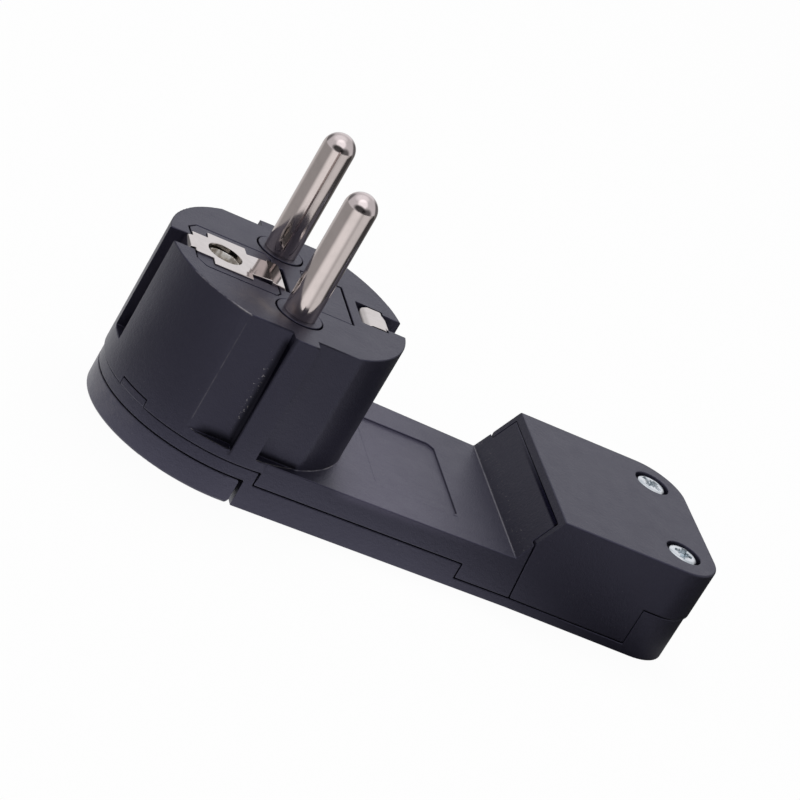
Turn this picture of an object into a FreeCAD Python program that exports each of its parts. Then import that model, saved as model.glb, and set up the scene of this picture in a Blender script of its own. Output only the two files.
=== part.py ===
import FreeCAD, Part
import os
import re

import Sketcher

# Right-angle earthed plug: round head with two pins, long neck, raised terminal box.
# Millimetres. +X runs from the head to the terminal box, +Z along the pins.
# The origin is on the head's axis, in the plane of the flat back.

doc = FreeCAD.newDocument("plug")
sheet = doc.addObject("Spreadsheet::Sheet", "dims")

DIMENSIONS = [
    # Head
    ("face_height", 26.1), ("face_thick", 2.0), ("head_radius", 17.85), ("head_wall", 1.6),
    ("drum_over", 0.25), ("flat_depth", 1.75), ("rib_half", 1.85), ("face_round", 0.2),
    # Neck and seams
    ("plate_height", 7.6), ("plate_thick", 1.6), ("side_wall", 1.5), ("floor_thick", 1.5),
    ("rim_height", 6.0), ("seam_height", 3.9), ("rim_end", 3.5), ("low_seam_start", 36.7),
    ("seam_gap", 0.16),
    # Snap tabs of the rim, with angles in degrees
    ("tab_height", 1.1), ("tab_wall", 1.5), ("tab_first_angle", 24.2), ("tab_angle", 17.0),
    # Label panel
    ("panel_start", 22.15), ("panel_length", 13.05), ("panel_half", 10.1), ("panel_depth", 0.3),
    ("panel_corner", 0.9),
    # Terminal box
    ("box_half", 15.9), ("box_start", 45.7), ("box_length", 28.2), ("box_height", 15.4),
    ("box_corner", 7.0), ("slope_foot_back", 2.35), ("slope_run", 3.8), ("cover_top_thick", 1.6),
    ("lip_width", 1.2), ("lip_height", 1.25), ("tongue_step_depth", 4.8), ("tongue_thick", 1.5),
    ("end_wall_length", 9.2), ("base_step", 0.3), ("end_wall_height", 7.4), ("outlet_radius", 4.25),
    ("cover_round", 0.3),
    # Pull handle
    ("handle_top", 3.9), ("handle_clear", 0.2), ("handle_end", 1.4), ("handle_gap", 0.6),
    ("handle_width", 4.55), ("block_gap", 0.3), ("block_start", 6.8), ("block_wall", 1.6),
    ("heel_cut", 0.4), ("heel_rise", 0.7), ("heel_round", 0.35), ("foot_round", 0.5), ("hinge_x", 0.3),
    ("hinge_z", 1.45),
    ("hinge_pin_radius", 0.7), ("hinge_running", 0.05), ("hinge_press", 0.02),
    ("hinge_pin_in", 3.8), ("hinge_pin_out", 2.9), ("hinge_hole_spare", 0.3),
    ("hinge_boss_half", 1.7), ("hinge_boss_cover", 1.3), ("finger_roof_thick", 1.0),
    ("finger_half", 9.0),
    # Pins
    ("pin_spacing", 19.0), ("pin_radius", 2.4), ("pin_length", 19.4), ("pin_fit", 0.02),
    ("root_step", 0.4),
    ("shoulder_radius", 3.3), ("shoulder_thick", 1.1), ("tail_radius", 1.5), ("tail_length", 2.2),
    # Contact carrier
    ("carrier_fit", 0.3), ("carrier_depth", 10.1), ("collar_radius", 3.4), ("inlay_gap", 0.2),
    ("inlay_root", 1.0), ("skirt_thick", 2.0), ("skirt_half", 3.4), ("post_radius", 1.6),
    ("post_root", 0.5), ("carrier_post_x", 4.8), ("neck_post_x", 38.0),
    ("pad_start", 2.6), ("pad_length", 6.3), ("pad_half", 5.5), ("pad_fit", 0.03),
    ("pad_slot", 0.35), ("collar_rise", 0.12),
    ("island_end", 2.3), ("island_half", 6.15), ("island_left_half", 4.8),
    ("island_right_half", 5.3), ("island_left_cut", 1.2), ("island_right_cut", 0.6),
    # Earth strip: a plate with a hole, a hump, a dip under the bridge and two legs
    ("strip_thick", 0.8), ("strip_proud", 0.2), ("groove_depth", 2.05), ("leg_length", 14.1),
    ("strip_half", 4.7), ("strip_left_half", 3.0), ("strip_notch_in", 2.8),
    ("strip_neck_half", 3.5), ("hump_start", 6.3), ("hump_top", 3.3), ("hump_end", 1.0),
    ("strip_slot", 0.55), ("edge_notch", 0.55),
    ("hump_rise", 0.2), ("dip_depth", 3.0), ("strip_right_half", 2.75), ("leg_half", 1.85),
    ("strip_fit", 0.05), ("bend_size", 0.4), ("bend_high", 1.0), ("island_reach", 0.3),
    ("groove_half", 2.15), ("groove_foot", 2.2), ("groove_cut_in", 0.4), ("window_length", 4.2),
    ("window_half", 3.1), ("window_past", 0.1), ("rise_run", 0.9),
    # Earth socket
    ("earth_hole_x", 10.0), ("earth_hole_radius", 2.55), ("socket_radius", 2.45),
    ("socket_wall", 0.55), ("socket_depth", 13.4), ("socket_slit", 0.9), ("slit_top", 2.0),
    ("socket_fit", 0.05),
    # Busbars
    ("bar_thick", 1.0), ("bar_margin", 1.0), ("bar_run", 3.2), ("bar_bend", 8.0),
    ("bar_head", 3.0), ("bar_plate_half", 2.5), ("tail_fit", 0.03), ("earth_plate_half", 2.9),
    # Terminals
    ("bed_gap", 1.3), ("bed_length", 9.0), ("bed_room", 0.5), ("bed_thick", 1.2),
    ("bed_edge", 0.6), ("rib_thick", 1.0), ("rib_height", 6.3), ("block_in", 1.1),
    ("block_length", 6.8), ("block_room", 0.75), ("wire_radius", 1.9), ("bar_entry", 5.0),
    ("wire_below_top", 3.3), ("grip_screw_radius", 1.5), ("grip_head_radius", 2.5),
    ("grip_head_thick", 1.5), ("grip_head_room", 2.1), ("grip_screw_length", 3.2),
    ("thread_fit", 0.03),
    # Cable clamp
    ("clamp_before", 6.2), ("clamp_width", 4.0), ("clamp_edge", 0.1), ("clamp_thick", 1.8),
    ("clamp_post_room", 0.45), ("clamp_post_radius", 2.1), ("clamp_rise", 0.8),
    ("clamp_screw_radius", 1.2), ("clamp_head_radius", 2.0), ("clamp_head_thick", 1.0),
    ("clamp_screw_length", 6.0), ("clamp_bite", 0.6), ("saddle_half", 3.9), ("saddle_rise", 0.8),
    # Cover screws
    ("screw_from_end", 5.65), ("screw_from_side", 6.0), ("screw_hole_radius", 2.75),
    ("screw_sink", 0.1), ("screw_head_radius", 2.35), ("screw_head_thick", 2.0),
    ("screw_radius", 1.45), ("screw_foot", 2.6), ("pilot_foot", 0.5), ("screw_fit", 0.05),
    ("screw_clear", 0.15),
    ("tower_radius", 3.8), ("post_thinner", 0.8), ("tower_split_depth", 6.4),
    ("recess_width", 0.8), ("recess_depth", 0.8), ("recess_length", 1.7),
    # How far a cutting shape stands past what it cuts
    ("spare", 1.0),
]

for row, (alias, value) in enumerate(DIMENSIONS, start=1):
    sheet.set(f"A{row}", alias)
    sheet.set(f"B{row}", str(value))
    sheet.setAlias(f"B{row}", alias)
doc.recompute()

ALIASES = {alias for alias, value in DIMENSIONS}


def from_sheet(text):
    """Turn names of dimensions in a formula into references to the sheet."""
    return re.sub(r"[a-z][a-z_]*", lambda m: "dims." + m[0] if m[0] in ALIASES else m[0], str(text))


def bind(item, prop, formula):
    item.setExpression(prop, from_sheet(formula))


def box(name, x_low, x_high, y_low, y_high, z_low, z_high):
    """A block between two corners."""
    item = doc.addObject("Part::Box", name)
    bind(item, "Length", f"({x_high}) - ({x_low})")
    bind(item, "Width", f"({y_high}) - ({y_low})")
    bind(item, "Height", f"({z_high}) - ({z_low})")
    bind(item, "Placement.Base.x", x_low)
    bind(item, "Placement.Base.y", y_low)
    bind(item, "Placement.Base.z", z_low)
    return item


def rod(name, radius, x, y, z, length, axis="Z"):
    """A round bar that starts at a point and runs along an axis."""
    item = doc.addObject("Part::Cylinder", name)
    bind(item, "Radius", radius)
    bind(item, "Height", length)
    turns = {"X": ((0, 1, 0), 90), "Y": ((1, 0, 0), -90), "Z": ((0, 0, 1), 0)}
    direction, angle = turns[axis]
    item.Placement = FreeCAD.Placement(
        FreeCAD.Vector(), FreeCAD.Rotation(FreeCAD.Vector(*direction), angle))
    bind(item, "Placement.Base.x", x)
    bind(item, "Placement.Base.y", y)
    bind(item, "Placement.Base.z", z)
    return item


def polygon_sketch(body, plane, points):
    """A closed outline whose corners are all held by named dimensions."""
    sketch = body.newObject("Sketcher::SketchObject", body.Name + "_outline")
    support = [item for item in body.Origin.OriginFeatures if item.Role == plane][0]
    sketch.AttachmentSupport = [(support, "")]
    sketch.MapMode = "FlatFace"
    values = [tuple(evaluate(part) for part in point) for point in points]
    count = len(points)
    for index in range(count):
        start = FreeCAD.Vector(*values[index], 0)
        end = FreeCAD.Vector(*values[(index + 1) % count], 0)
        sketch.addGeometry(Part.LineSegment(start, end), False)
    for index in range(count):
        sketch.addConstraint(Sketcher.Constraint("Coincident", index, 2, (index + 1) % count, 1))
    for index, point in enumerate(points):
        for kind, letter, formula, value in zip(
                ("DistanceX", "DistanceY"), "xy", point, values[index]):
            number = sketch.addConstraint(Sketcher.Constraint(kind, index, 1, value))
            label = f"corner_{letter}{index}"
            sketch.renameConstraint(number, label)
            bind(sketch, f"Constraints.{label}", formula)
    return sketch


def evaluate(formula):
    """The value of a formula with the sheet's present numbers, for a sketch's first guess."""
    return float(sheet.evalExpression(from_sheet(formula).replace("dims.", "")))


def side_prism(name, points, width):
    """An outline of X and Z corners, padded evenly to both sides of the middle plane."""
    body = doc.addObject("PartDesign::Body", name)
    sketch = polygon_sketch(body, "XZ_Plane", points)
    pad = body.newObject("PartDesign::Pad", name + "_pad")
    pad.Profile = sketch
    pad.Midplane = True
    bind(pad, "Length", width)
    return body


def plan_prism(name, points, z_low, z_high):
    """An outline of X and Y corners, padded upwards."""
    body = doc.addObject("PartDesign::Body", name)
    sketch = polygon_sketch(body, "XY_Plane", points)
    pad = body.newObject("PartDesign::Pad", name + "_pad")
    pad.Profile = sketch
    bind(pad, "Length", f"({z_high}) - ({z_low})")
    bind(body, "Placement.Base.z", z_low)
    return body


def mirrored_outline(points):
    """Close an outline with the mirror image of its corners across the middle plane."""
    return points + [(x, f"-({y})") for x, y in reversed(points)]


def fuse(name, *parts):
    item = doc.addObject("Part::MultiFuse", name)
    item.Shapes = list(parts)
    item.Refine = True
    return item


def common(name, *parts):
    item = doc.addObject("Part::MultiCommon", name)
    item.Shapes = list(parts)
    item.Refine = True
    return item


def cut(name, base, *tools):
    item = doc.addObject("Part::Cut", name)
    item.Base = base
    item.Tool = tools[0] if len(tools) == 1 else fuse(name + "_tools", *tools)
    item.Refine = True
    return item


def rounded(name, base, radius, chosen):
    """Round the edges of a finished shape that a test picks."""
    doc.recompute()
    size = sheet.get(radius)
    picked = [number for number, edge in enumerate(base.Shape.Edges, start=1) if chosen(edge)]
    item = doc.addObject("Part::Fillet", name)
    item.Base = base
    item.Edges = [(number, size, size) for number in picked]
    return item


# Formulas that several pieces share
HALF_GAP = "seam_gap / 2"
DRUM_RADIUS = "(head_radius + drum_over)"
PIN_Y = "pin_spacing / 2"
FLAT_Y = "(head_radius - flat_depth)"
LEG_X = "(head_radius - groove_depth)"
STRIP_REACH = f"({LEG_X} - strip_thick)"
ISLAND_X = f"({STRIP_REACH} - island_reach)"
WINDOW_END = f"({STRIP_REACH} + window_past)"
WINDOW_START = f"({WINDOW_END} - window_length)"
PAD_END = "(pad_start + pad_length)"
STRIP_TOP = "(face_height + strip_proud)"
STRIP_UNDER = "(face_height + strip_proud - strip_thick)"
DIP_TOP = "(face_height - dip_depth)"
LEG_FOOT = f"({STRIP_TOP} - leg_length - strip_proud)"
CARRIER_FOOT = "(face_height - carrier_depth)"
EARTH_BAR_TOP = f"({STRIP_UNDER} - socket_depth)"
HANDLE_INNER = "(head_radius - handle_width)"
HANDLE_SPACE = "(handle_top + handle_clear)"
SHELL_X = "(handle_end + handle_gap)"
BLOCK_RADIUS = f"({HANDLE_INNER} - block_gap)"
FLOOR_TOP = "(floor_thick - seam_gap / 2)"
NECK_TAPER = "((head_radius - box_half) / box_start)"
PLATE_UNDER = "(plate_height - plate_thick)"
BOX_END = "(box_start + box_length)"
BASE_END = f"({BOX_END} - base_step)"
SLOPE_FOOT = "(box_start - slope_foot_back)"
SLOPE = "(slope_run / (box_height - plate_height))"
TONGUE_STEP = "(box_height - tongue_step_depth)"
TONGUE_TOP = "(box_height - lip_height)"
TONGUE_HALF = "(box_half - lip_width)"
STEP_X = f"({SLOPE_FOOT} + ({TONGUE_STEP} - plate_height) * {SLOPE})"
TONGUE_X = f"({SLOPE_FOOT} + ({TONGUE_TOP} - plate_height) * {SLOPE})"
INSIDE_TOP = "(box_height - cover_top_thick)"
END_WALL_X = f"({BOX_END} - end_wall_length)"
BED_TOP = "(floor_thick + bed_thick)"
BED_HALF = "(box_half - side_wall - bed_room)"
SCREW_X = f"({BOX_END} - screw_from_end)"
SCREW_Y = "(box_half - screw_from_side)"
SCREW_SEAT = "(box_height - screw_sink - screw_head_thick)"
TOWER_FOOT = "(box_height - tower_split_depth)"
CLAMP_X = f"({SCREW_X} - clamp_before)"
CLAMP_Y = "(outlet_radius + clamp_post_radius + clamp_post_room)"
CLAMP_FOOT = "(end_wall_height + clamp_rise)"
BED_START = f"({CLAMP_X} - clamp_width / 2 - bed_gap - bed_length)"
BLOCK_X = f"({BED_START} + block_in)"
BLOCK_MIDDLE = f"({BLOCK_X} + block_length / 2)"
BLOCK_TOP = f"({INSIDE_TOP} - grip_head_room - grip_head_thick)"
WIRE_Z = f"({BLOCK_TOP} - wire_below_top)"
BLOCK_WIDTH = f"((2 * ({BED_HALF} - bed_edge) - 4 * block_room - 2 * rib_thick) / 3)"
TERMINAL_Y = f"({BLOCK_WIDTH} + 2 * block_room + rib_thick)"
BAR_WIDTH = f"({BLOCK_WIDTH} - 2 * bar_margin)"
CLAMP_HOLLOW_Z = f"({CLAMP_FOOT} - outlet_radius + clamp_bite)"
TABS = (("front", "180 + tab_first_angle"), ("back", "180 - tab_first_angle - tab_angle"))
PIN_PLACES = (("line", f"({PIN_Y})"), ("neutral", f"-({PIN_Y})"))
SIDES = (("left", "-"), ("right", ""))
CLOSE = 0.001


def neck_plan(name, inset, x_low, x_high, z_low, z_high):
    """The neck seen from above: it narrows evenly from the head to the box."""
    def side(x):
        return f"head_radius - ({inset}) - {NECK_TAPER} * ({x})"
    return plan_prism(name, mirrored_outline([(x_low, side(x_low)), (x_high, side(x_high))]),
                      z_low, z_high)


def box_plan(name, inset, x_low, z_low, z_high, end=BOX_END):
    """The terminal box seen from above, with its two rounded far corners."""
    height = f"({z_high}) - ({z_low})"
    edge = f"{end} - box_corner"
    half = f"box_half - ({inset})"
    parts = [
        box(name + "_long", x_low, edge, f"-({half})", half, z_low, z_high),
        box(name + "_short", x_low, f"{end} - ({inset})", "box_corner - box_half",
            "box_half - box_corner", z_low, z_high),
    ]
    parts += [rod(name + side, f"box_corner - ({inset})", edge,
                  f"{sign}(box_half - box_corner)", z_low, height) for side, sign in SIDES]
    return fuse(name, *parts)


def snap_tab(name, start, grow, outer, low):
    """A short piece of rim that stands up into the head's wall; grow makes its slot."""
    top = f"rim_height + tab_height + 2 * ({grow})"
    rings = []
    for part, radius in (("outer", outer), ("inner", f"head_radius - tab_wall - ({grow})")):
        sector = doc.addObject("Part::Cylinder", f"{name}_{part}")
        bind(sector, "Radius", radius)
        bind(sector, "Height", f"({top}) - ({low})")
        turn = f"({grow}) / head_radius * 180 / pi"
        bind(sector, "Angle", f"tab_angle + 2 * {turn}")
        bind(sector, "Placement.Base.z", low)
        sector.Placement.Rotation = FreeCAD.Rotation(FreeCAD.Vector(0, 0, 1), 1)
        bind(sector, "Placement.Rotation.Angle", f"({start}) - {turn}")
        rings.append(sector)
    return cut(name, *rings)


def island_outline(grow):
    """Outline of the raised island round the earth plate, seen from above."""
    return mirrored_outline([
        (f"-{ISLAND_X} - ({grow})", "island_left_half"),
        (f"-{ISLAND_X} + island_left_cut", f"island_half + ({grow})"),
        ("-island_end - island_right_cut", f"island_half + ({grow})"),
        (f"-island_end + ({grow})", "island_right_half"),
    ])


def strip_outline():
    """The earth strip from the side: up one groove, over the face, under the bridge, down."""
    thick = "strip_thick"
    bend = "bend_size"
    past = f"({WINDOW_START} - ({PAD_END}))"
    flush = "face_height"
    return [
        (f"-{LEG_X}", LEG_FOOT), (f"-{LEG_X}", f"{STRIP_TOP} - {thick}"),
        (f"-{LEG_X} + {bend}", f"{STRIP_TOP} - {bend} / 4"), (f"-{STRIP_REACH} + {bend}", STRIP_TOP),
        ("-hump_start", STRIP_TOP), ("-(hump_start + hump_top) / 2", f"{STRIP_TOP} + hump_rise / 2"),
        ("-hump_top", f"{STRIP_TOP} + hump_rise"),
        (f"-hump_end - {bend}", f"{STRIP_TOP} + hump_rise / 2"),
        ("-hump_end", f"{STRIP_TOP} - {bend}"),
        ("-hump_end", f"{DIP_TOP} + bend_high"), (f"-hump_end + {bend}", DIP_TOP),
        (f"{PAD_END} + {past} - {bend} / 2", DIP_TOP),
        (f"{WINDOW_START} + {bend}", f"{flush} - bend_high"),
        (f"{WINDOW_START} + rise_run", f"{flush} - {bend}"),
        (f"{WINDOW_START} + 2 * rise_run", flush), (f"{STRIP_REACH} - {bend}", flush),
        (f"{LEG_X} - {bend}", f"{flush} - {bend} / 2"), (LEG_X, f"{flush} - bend_high"),
        (LEG_X, LEG_FOOT), (STRIP_REACH, LEG_FOOT),
        (STRIP_REACH, f"{flush} - bend_high"), (f"{STRIP_REACH} - {bend}", f"{flush} - {thick}"),
        (f"{WINDOW_START} + 2 * rise_run + {bend} / 2", f"{flush} - {thick}"),
        (f"{WINDOW_START} + rise_run + {thick}", f"{flush} - {thick} - {bend}"),
        (f"{WINDOW_START} + {bend}", f"{DIP_TOP} - {thick}"),
        (f"-hump_end - {thick} / 4", f"{DIP_TOP} - {thick}"),
        (f"-hump_end - {thick}", f"{DIP_TOP} + bend_high / 2"),
        (f"-hump_end - {thick} - {bend}", f"{STRIP_UNDER} - {bend}"),
        ("-hump_top", f"{STRIP_UNDER} + hump_rise"),
        ("-(hump_start + hump_top) / 2", f"{STRIP_UNDER} + hump_rise / 2"),
        ("-hump_start", STRIP_UNDER),
        (f"-{STRIP_REACH} + {bend} / 2", STRIP_UNDER), (f"-{STRIP_REACH}", f"{STRIP_UNDER} - {bend}"),
        (f"-{STRIP_REACH}", LEG_FOOT),
    ]


def head_shell():
    """Upper housing: head, neck plate and the tongue that climbs to the terminal cover."""
    over = "spare"
    side = side_prism("head_side", [
        (f"-head_radius - {over}", f"rim_height + {HALF_GAP}"),
        (f"rim_end + {HALF_GAP}", f"rim_height + {HALF_GAP}"),
        (f"rim_end + {HALF_GAP}", f"seam_height + {HALF_GAP}"),
        (f"low_seam_start + {HALF_GAP}", f"seam_height + {HALF_GAP}"),
        (f"low_seam_start + {HALF_GAP}", f"floor_thick + {HALF_GAP}"),
        (f"box_start - {HALF_GAP}", f"floor_thick + {HALF_GAP}"),
        (f"{STEP_X} - {HALF_GAP}", f"{TONGUE_STEP} - {HALF_GAP} / {SLOPE}"),
        (SLOPE_FOOT, "plate_height"),
        (f"-head_radius - {over}", "plate_height"),
    ], f"2 * (head_radius + {over})")
    plan = fuse("head_plan",
                neck_plan("neck_outer", "0", "0", "box_start", "0", "box_height"),
                rod("round_outer", "head_radius", "0", "0", "0", "box_height"))
    lower = common("head_lower", side, plan)
    drum_foot = f"rim_height + {HALF_GAP}"
    flats = []
    for x_name, x_low, x_high in (("near", f"-head_radius - {over}", "-rib_half"),
                                  ("far", "rib_half", f"head_radius + {over}")):
        flats.append(box(f"flat_front_{x_name}", x_low, x_high, f"-head_radius - {over}",
                         f"-{FLAT_Y}", "plate_height", f"face_height + {over}"))
        flats.append(box(f"flat_back_{x_name}", x_low, x_high, FLAT_Y, f"head_radius + {over}",
                         "plate_height", f"face_height + {over}"))
    drum = cut("head_drum_cut",
               rod("head_drum", DRUM_RADIUS, "0", "0", drum_foot, f"face_height - ({drum_foot})"),
               *flats)
    tongue = side_prism("tongue", [
        (f"{SLOPE_FOOT} - tongue_thick", PLATE_UNDER),
        (f"{SLOPE_FOOT} - tongue_thick", "plate_height"),
        (SLOPE_FOOT, "plate_height"),
        (TONGUE_X, TONGUE_TOP),
        (f"{TONGUE_X} + tongue_thick", TONGUE_TOP),
        (f"{SLOPE_FOOT} + tongue_thick", PLATE_UNDER),
    ], f"2 * {TONGUE_HALF} - seam_gap")
    outer = fuse("head_outer", lower, drum, tongue)
    inner_flat = f"({FLAT_Y} - head_wall)"
    drum_hollow = common(
        "drum_hollow",
        rod("drum_inside", "head_radius - head_wall", "0", "0", "0", "face_height - face_thick"),
        box("drum_inside_flats", "-head_radius", "head_radius", f"-{inner_flat}", inner_flat, "0",
            "face_height"))
    neck_hollow = neck_plan("neck_hollow", "side_wall", "0", f"box_start + {over}", f"-{over}",
                            PLATE_UNDER)
    cut_low = "face_height - face_thick - inlay_root"
    cut_high = f"face_height + {over}"
    grooves = "plate_height + groove_foot"
    openings = [
        plan_prism("island_opening", island_outline("inlay_gap"), cut_low, cut_high),
        box("pad_opening", "pad_start - pad_fit", f"{PAD_END} + pad_slot",
            "-pad_half - pad_fit", "pad_half + pad_slot", cut_low, cut_high),
        box("strip_opening", "-island_end - island_right_cut", "strip_slot - hump_end",
            "-strip_neck_half - strip_fit", "strip_neck_half + strip_fit", cut_low, cut_high),
        box("window_opening", WINDOW_START, WINDOW_END, "-window_half", "window_half", cut_low,
            cut_high),
        box("groove_left", f"-head_radius - {over}", f"groove_cut_in - {STRIP_REACH}",
            "-groove_half", "groove_half", grooves, cut_high),
        box("groove_right", f"{STRIP_REACH} - groove_cut_in", f"head_radius + {over}",
            "-groove_half", "groove_half", grooves, cut_high),
        plan_prism("label_panel", mirrored_outline([
            ("panel_start", "panel_half - panel_corner"),
            ("panel_start + panel_corner", "panel_half"),
            ("panel_start + panel_length - panel_corner", "panel_half"),
            ("panel_start + panel_length", "panel_half - panel_corner"),
        ]), "plate_height - panel_depth", f"plate_height + {over}"),
    ]
    openings += [snap_tab(f"tab_slot_{place}", start, HALF_GAP, f"({DRUM_RADIUS} + {over})",
                          "rim_height - post_root") for place, start in TABS]
    openings += [rod(f"collar_hole_{name}", "collar_radius + inlay_gap", "0", y, cut_low,
                     f"({cut_high}) - ({cut_low})") for name, y in PIN_PLACES]
    shell = cut("head_hollowed", outer, drum_hollow, neck_hollow, *openings)

    def on_face_rim(edge):
        height = sheet.get("face_height")
        bounds = edge.BoundBox
        reach = max(abs(bounds.YMin), abs(bounds.YMax), abs(bounds.XMin), abs(bounds.XMax))
        level = abs(bounds.ZMin - height) < CLOSE and abs(bounds.ZMax - height) < CLOSE
        flat = sheet.get("head_radius") - sheet.get("flat_depth")
        rim = reach > flat - CLOSE and bounds.DiagonalLength > sheet.get("flat_depth") * 1.5
        return level and rim

    return rounded("head_shell", shell, "face_round", on_face_rim)


def base_shell():
    """Lower housing: floor, side rims, centre block under the head and far end wall."""
    over = "spare"
    root = "post_root"
    side = side_prism("base_side", [
        (f"-head_radius - {over}", "0"),
        (f"-head_radius - {over}", f"rim_height - {HALF_GAP}"),
        (f"rim_end - {HALF_GAP}", f"rim_height - {HALF_GAP}"),
        (f"rim_end - {HALF_GAP}", f"seam_height - {HALF_GAP}"),
        (f"low_seam_start - {HALF_GAP}", f"seam_height - {HALF_GAP}"),
        (f"low_seam_start - {HALF_GAP}", FLOOR_TOP),
        (f"{BOX_END} + {over}", FLOOR_TOP),
        (f"{BOX_END} + {over}", "0"),
    ], f"2 * (head_radius + {over})")
    plan = fuse("base_plan",
                neck_plan("base_neck_outer", "0", "0", "box_start", "0", "box_height"),
                rod("base_round_outer", "head_radius", "0", "0", "0", "box_height"),
                box_plan("base_box_outer", "0", "box_start", "0", "box_height", BASE_END))
    plate = common("base_plate", side, plan)
    handle_room = box("handle_room", f"-head_radius - {over}", SHELL_X, f"-head_radius - {over}",
                      f"head_radius + {over}", f"-{over}", HANDLE_SPACE)
    neck_room = neck_plan("base_neck_room", "side_wall", f"rim_end - {HALF_GAP}", "box_start",
                          FLOOR_TOP, "box_height")
    finger_room = box("finger_room", f"-{HANDLE_INNER}", "-block_start", "-finger_half",
                      "finger_half", "0", "rim_height - finger_roof_thick")
    plate = cut("base_plate_cut", plate, handle_room, neck_room, finger_room)
    block = common("centre_block",
                   rod("block_round", BLOCK_RADIUS, "0", "0", "0", f"{HANDLE_SPACE} + {root}"),
                   box("block_clip", "-block_start", f"{SHELL_X} + {root}", f"-{BLOCK_RADIUS}",
                       BLOCK_RADIUS, "0", "rim_height"))
    block_room = common("block_room",
                        rod("block_room_round", f"{BLOCK_RADIUS} - block_wall", "0", "0",
                            FLOOR_TOP, "rim_height"),
                        box("block_room_clip", "block_wall - block_start", f"rim_end + {over}",
                            f"-{BLOCK_RADIUS}", BLOCK_RADIUS, "0", "2 * rim_height"))
    shell = cut("base_hollowed", fuse("base_joined", plate, block), block_room)
    end_ring = cut("end_ring",
                   box_plan("end_ring_outer", "0", END_WALL_X, "0",
                            f"end_wall_height - {HALF_GAP}", BASE_END),
                   box_plan("end_ring_inner", "side_wall", f"{END_WALL_X} - {over}", FLOOR_TOP,
                            "box_height"),
                   box("end_ring_clip", f"{END_WALL_X} - box_corner", END_WALL_X, "-box_half",
                       "box_half", FLOOR_TOP, "box_height"))
    additions = [shell, end_ring,
                 box("cable_saddle", f"{CLAMP_X} - clamp_width / 2", f"{CLAMP_X} + clamp_width / 2",
                     "-saddle_half", "saddle_half", root, f"{FLOOR_TOP} + saddle_rise")]
    for place, start in TABS:
        additions += [snap_tab(f"tab_root_{place}", start, "0", "head_radius",
                               "rim_height - post_root"),
                      snap_tab(f"tab_{place}", start, "0", DRUM_RADIUS,
                               f"rim_height + {HALF_GAP}")]
    holes = [rod("outlet_low", "outlet_radius", f"{BOX_END} - 2 * side_wall", "0",
                 "end_wall_height", "4 * side_wall", "X")]
    for side_name, sign in SIDES:
        additions += [
            rod(f"screw_post_{side_name}", "tower_radius - post_thinner", SCREW_X,
                f"{sign}{SCREW_Y}", root, f"{TOWER_FOOT} - {root}"),
            rod(f"clamp_post_{side_name}", "clamp_post_radius", CLAMP_X, f"{sign}{CLAMP_Y}", root,
                f"{CLAMP_FOOT} - {root}"),
            rod(f"carrier_post_head_{side_name}", "post_radius", "-carrier_post_x",
                f"{sign}{TERMINAL_Y} / 2", root, f"{CARRIER_FOOT} - {root}"),
            rod(f"carrier_post_neck_{side_name}", "post_radius", "carrier_post_x",
                f"{sign}{TERMINAL_Y} / 2", root, f"{CARRIER_FOOT} - {root}"),
            rod(f"neck_post_{side_name}", "post_radius", "neck_post_x", f"{sign}{TERMINAL_Y} / 2",
                root, f"{PLATE_UNDER} - {root}"),
        ]
        inner = f"({BLOCK_RADIUS} - hinge_pin_in)"
        skin = f"({BLOCK_RADIUS} - block_wall / 2)"
        low, high = (f"-{skin}", f"-{inner} + block_wall") if sign else (f"{inner} - block_wall",
                                                                       skin)
        start = f"-{BLOCK_RADIUS} - {over}" if sign else f"{inner} - hinge_hole_spare"
        additions.append(box(f"hinge_boss_{side_name}", "hinge_x - hinge_boss_half",
                             "hinge_x + hinge_boss_half", low, high, root,
                             "hinge_z + hinge_pin_radius + hinge_boss_cover"))
        holes += [
            rod(f"screw_pilot_{side_name}", "screw_radius + screw_fit", SCREW_X,
                f"{sign}{SCREW_Y}", "floor_thick + pilot_foot", "box_height"),
            rod(f"clamp_pilot_{side_name}", "clamp_screw_radius + thread_fit", CLAMP_X,
                f"{sign}{CLAMP_Y}", f"{CLAMP_FOOT} - clamp_screw_length", "clamp_screw_length * 2"),
            rod(f"hinge_hole_{side_name}", "hinge_pin_radius + hinge_press", "hinge_x", start,
                "hinge_z", f"hinge_pin_in + hinge_hole_spare + {over}", "Y"),
        ]
    return cut("base_shell", fuse("base_with_posts", *additions), *holes)


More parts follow.
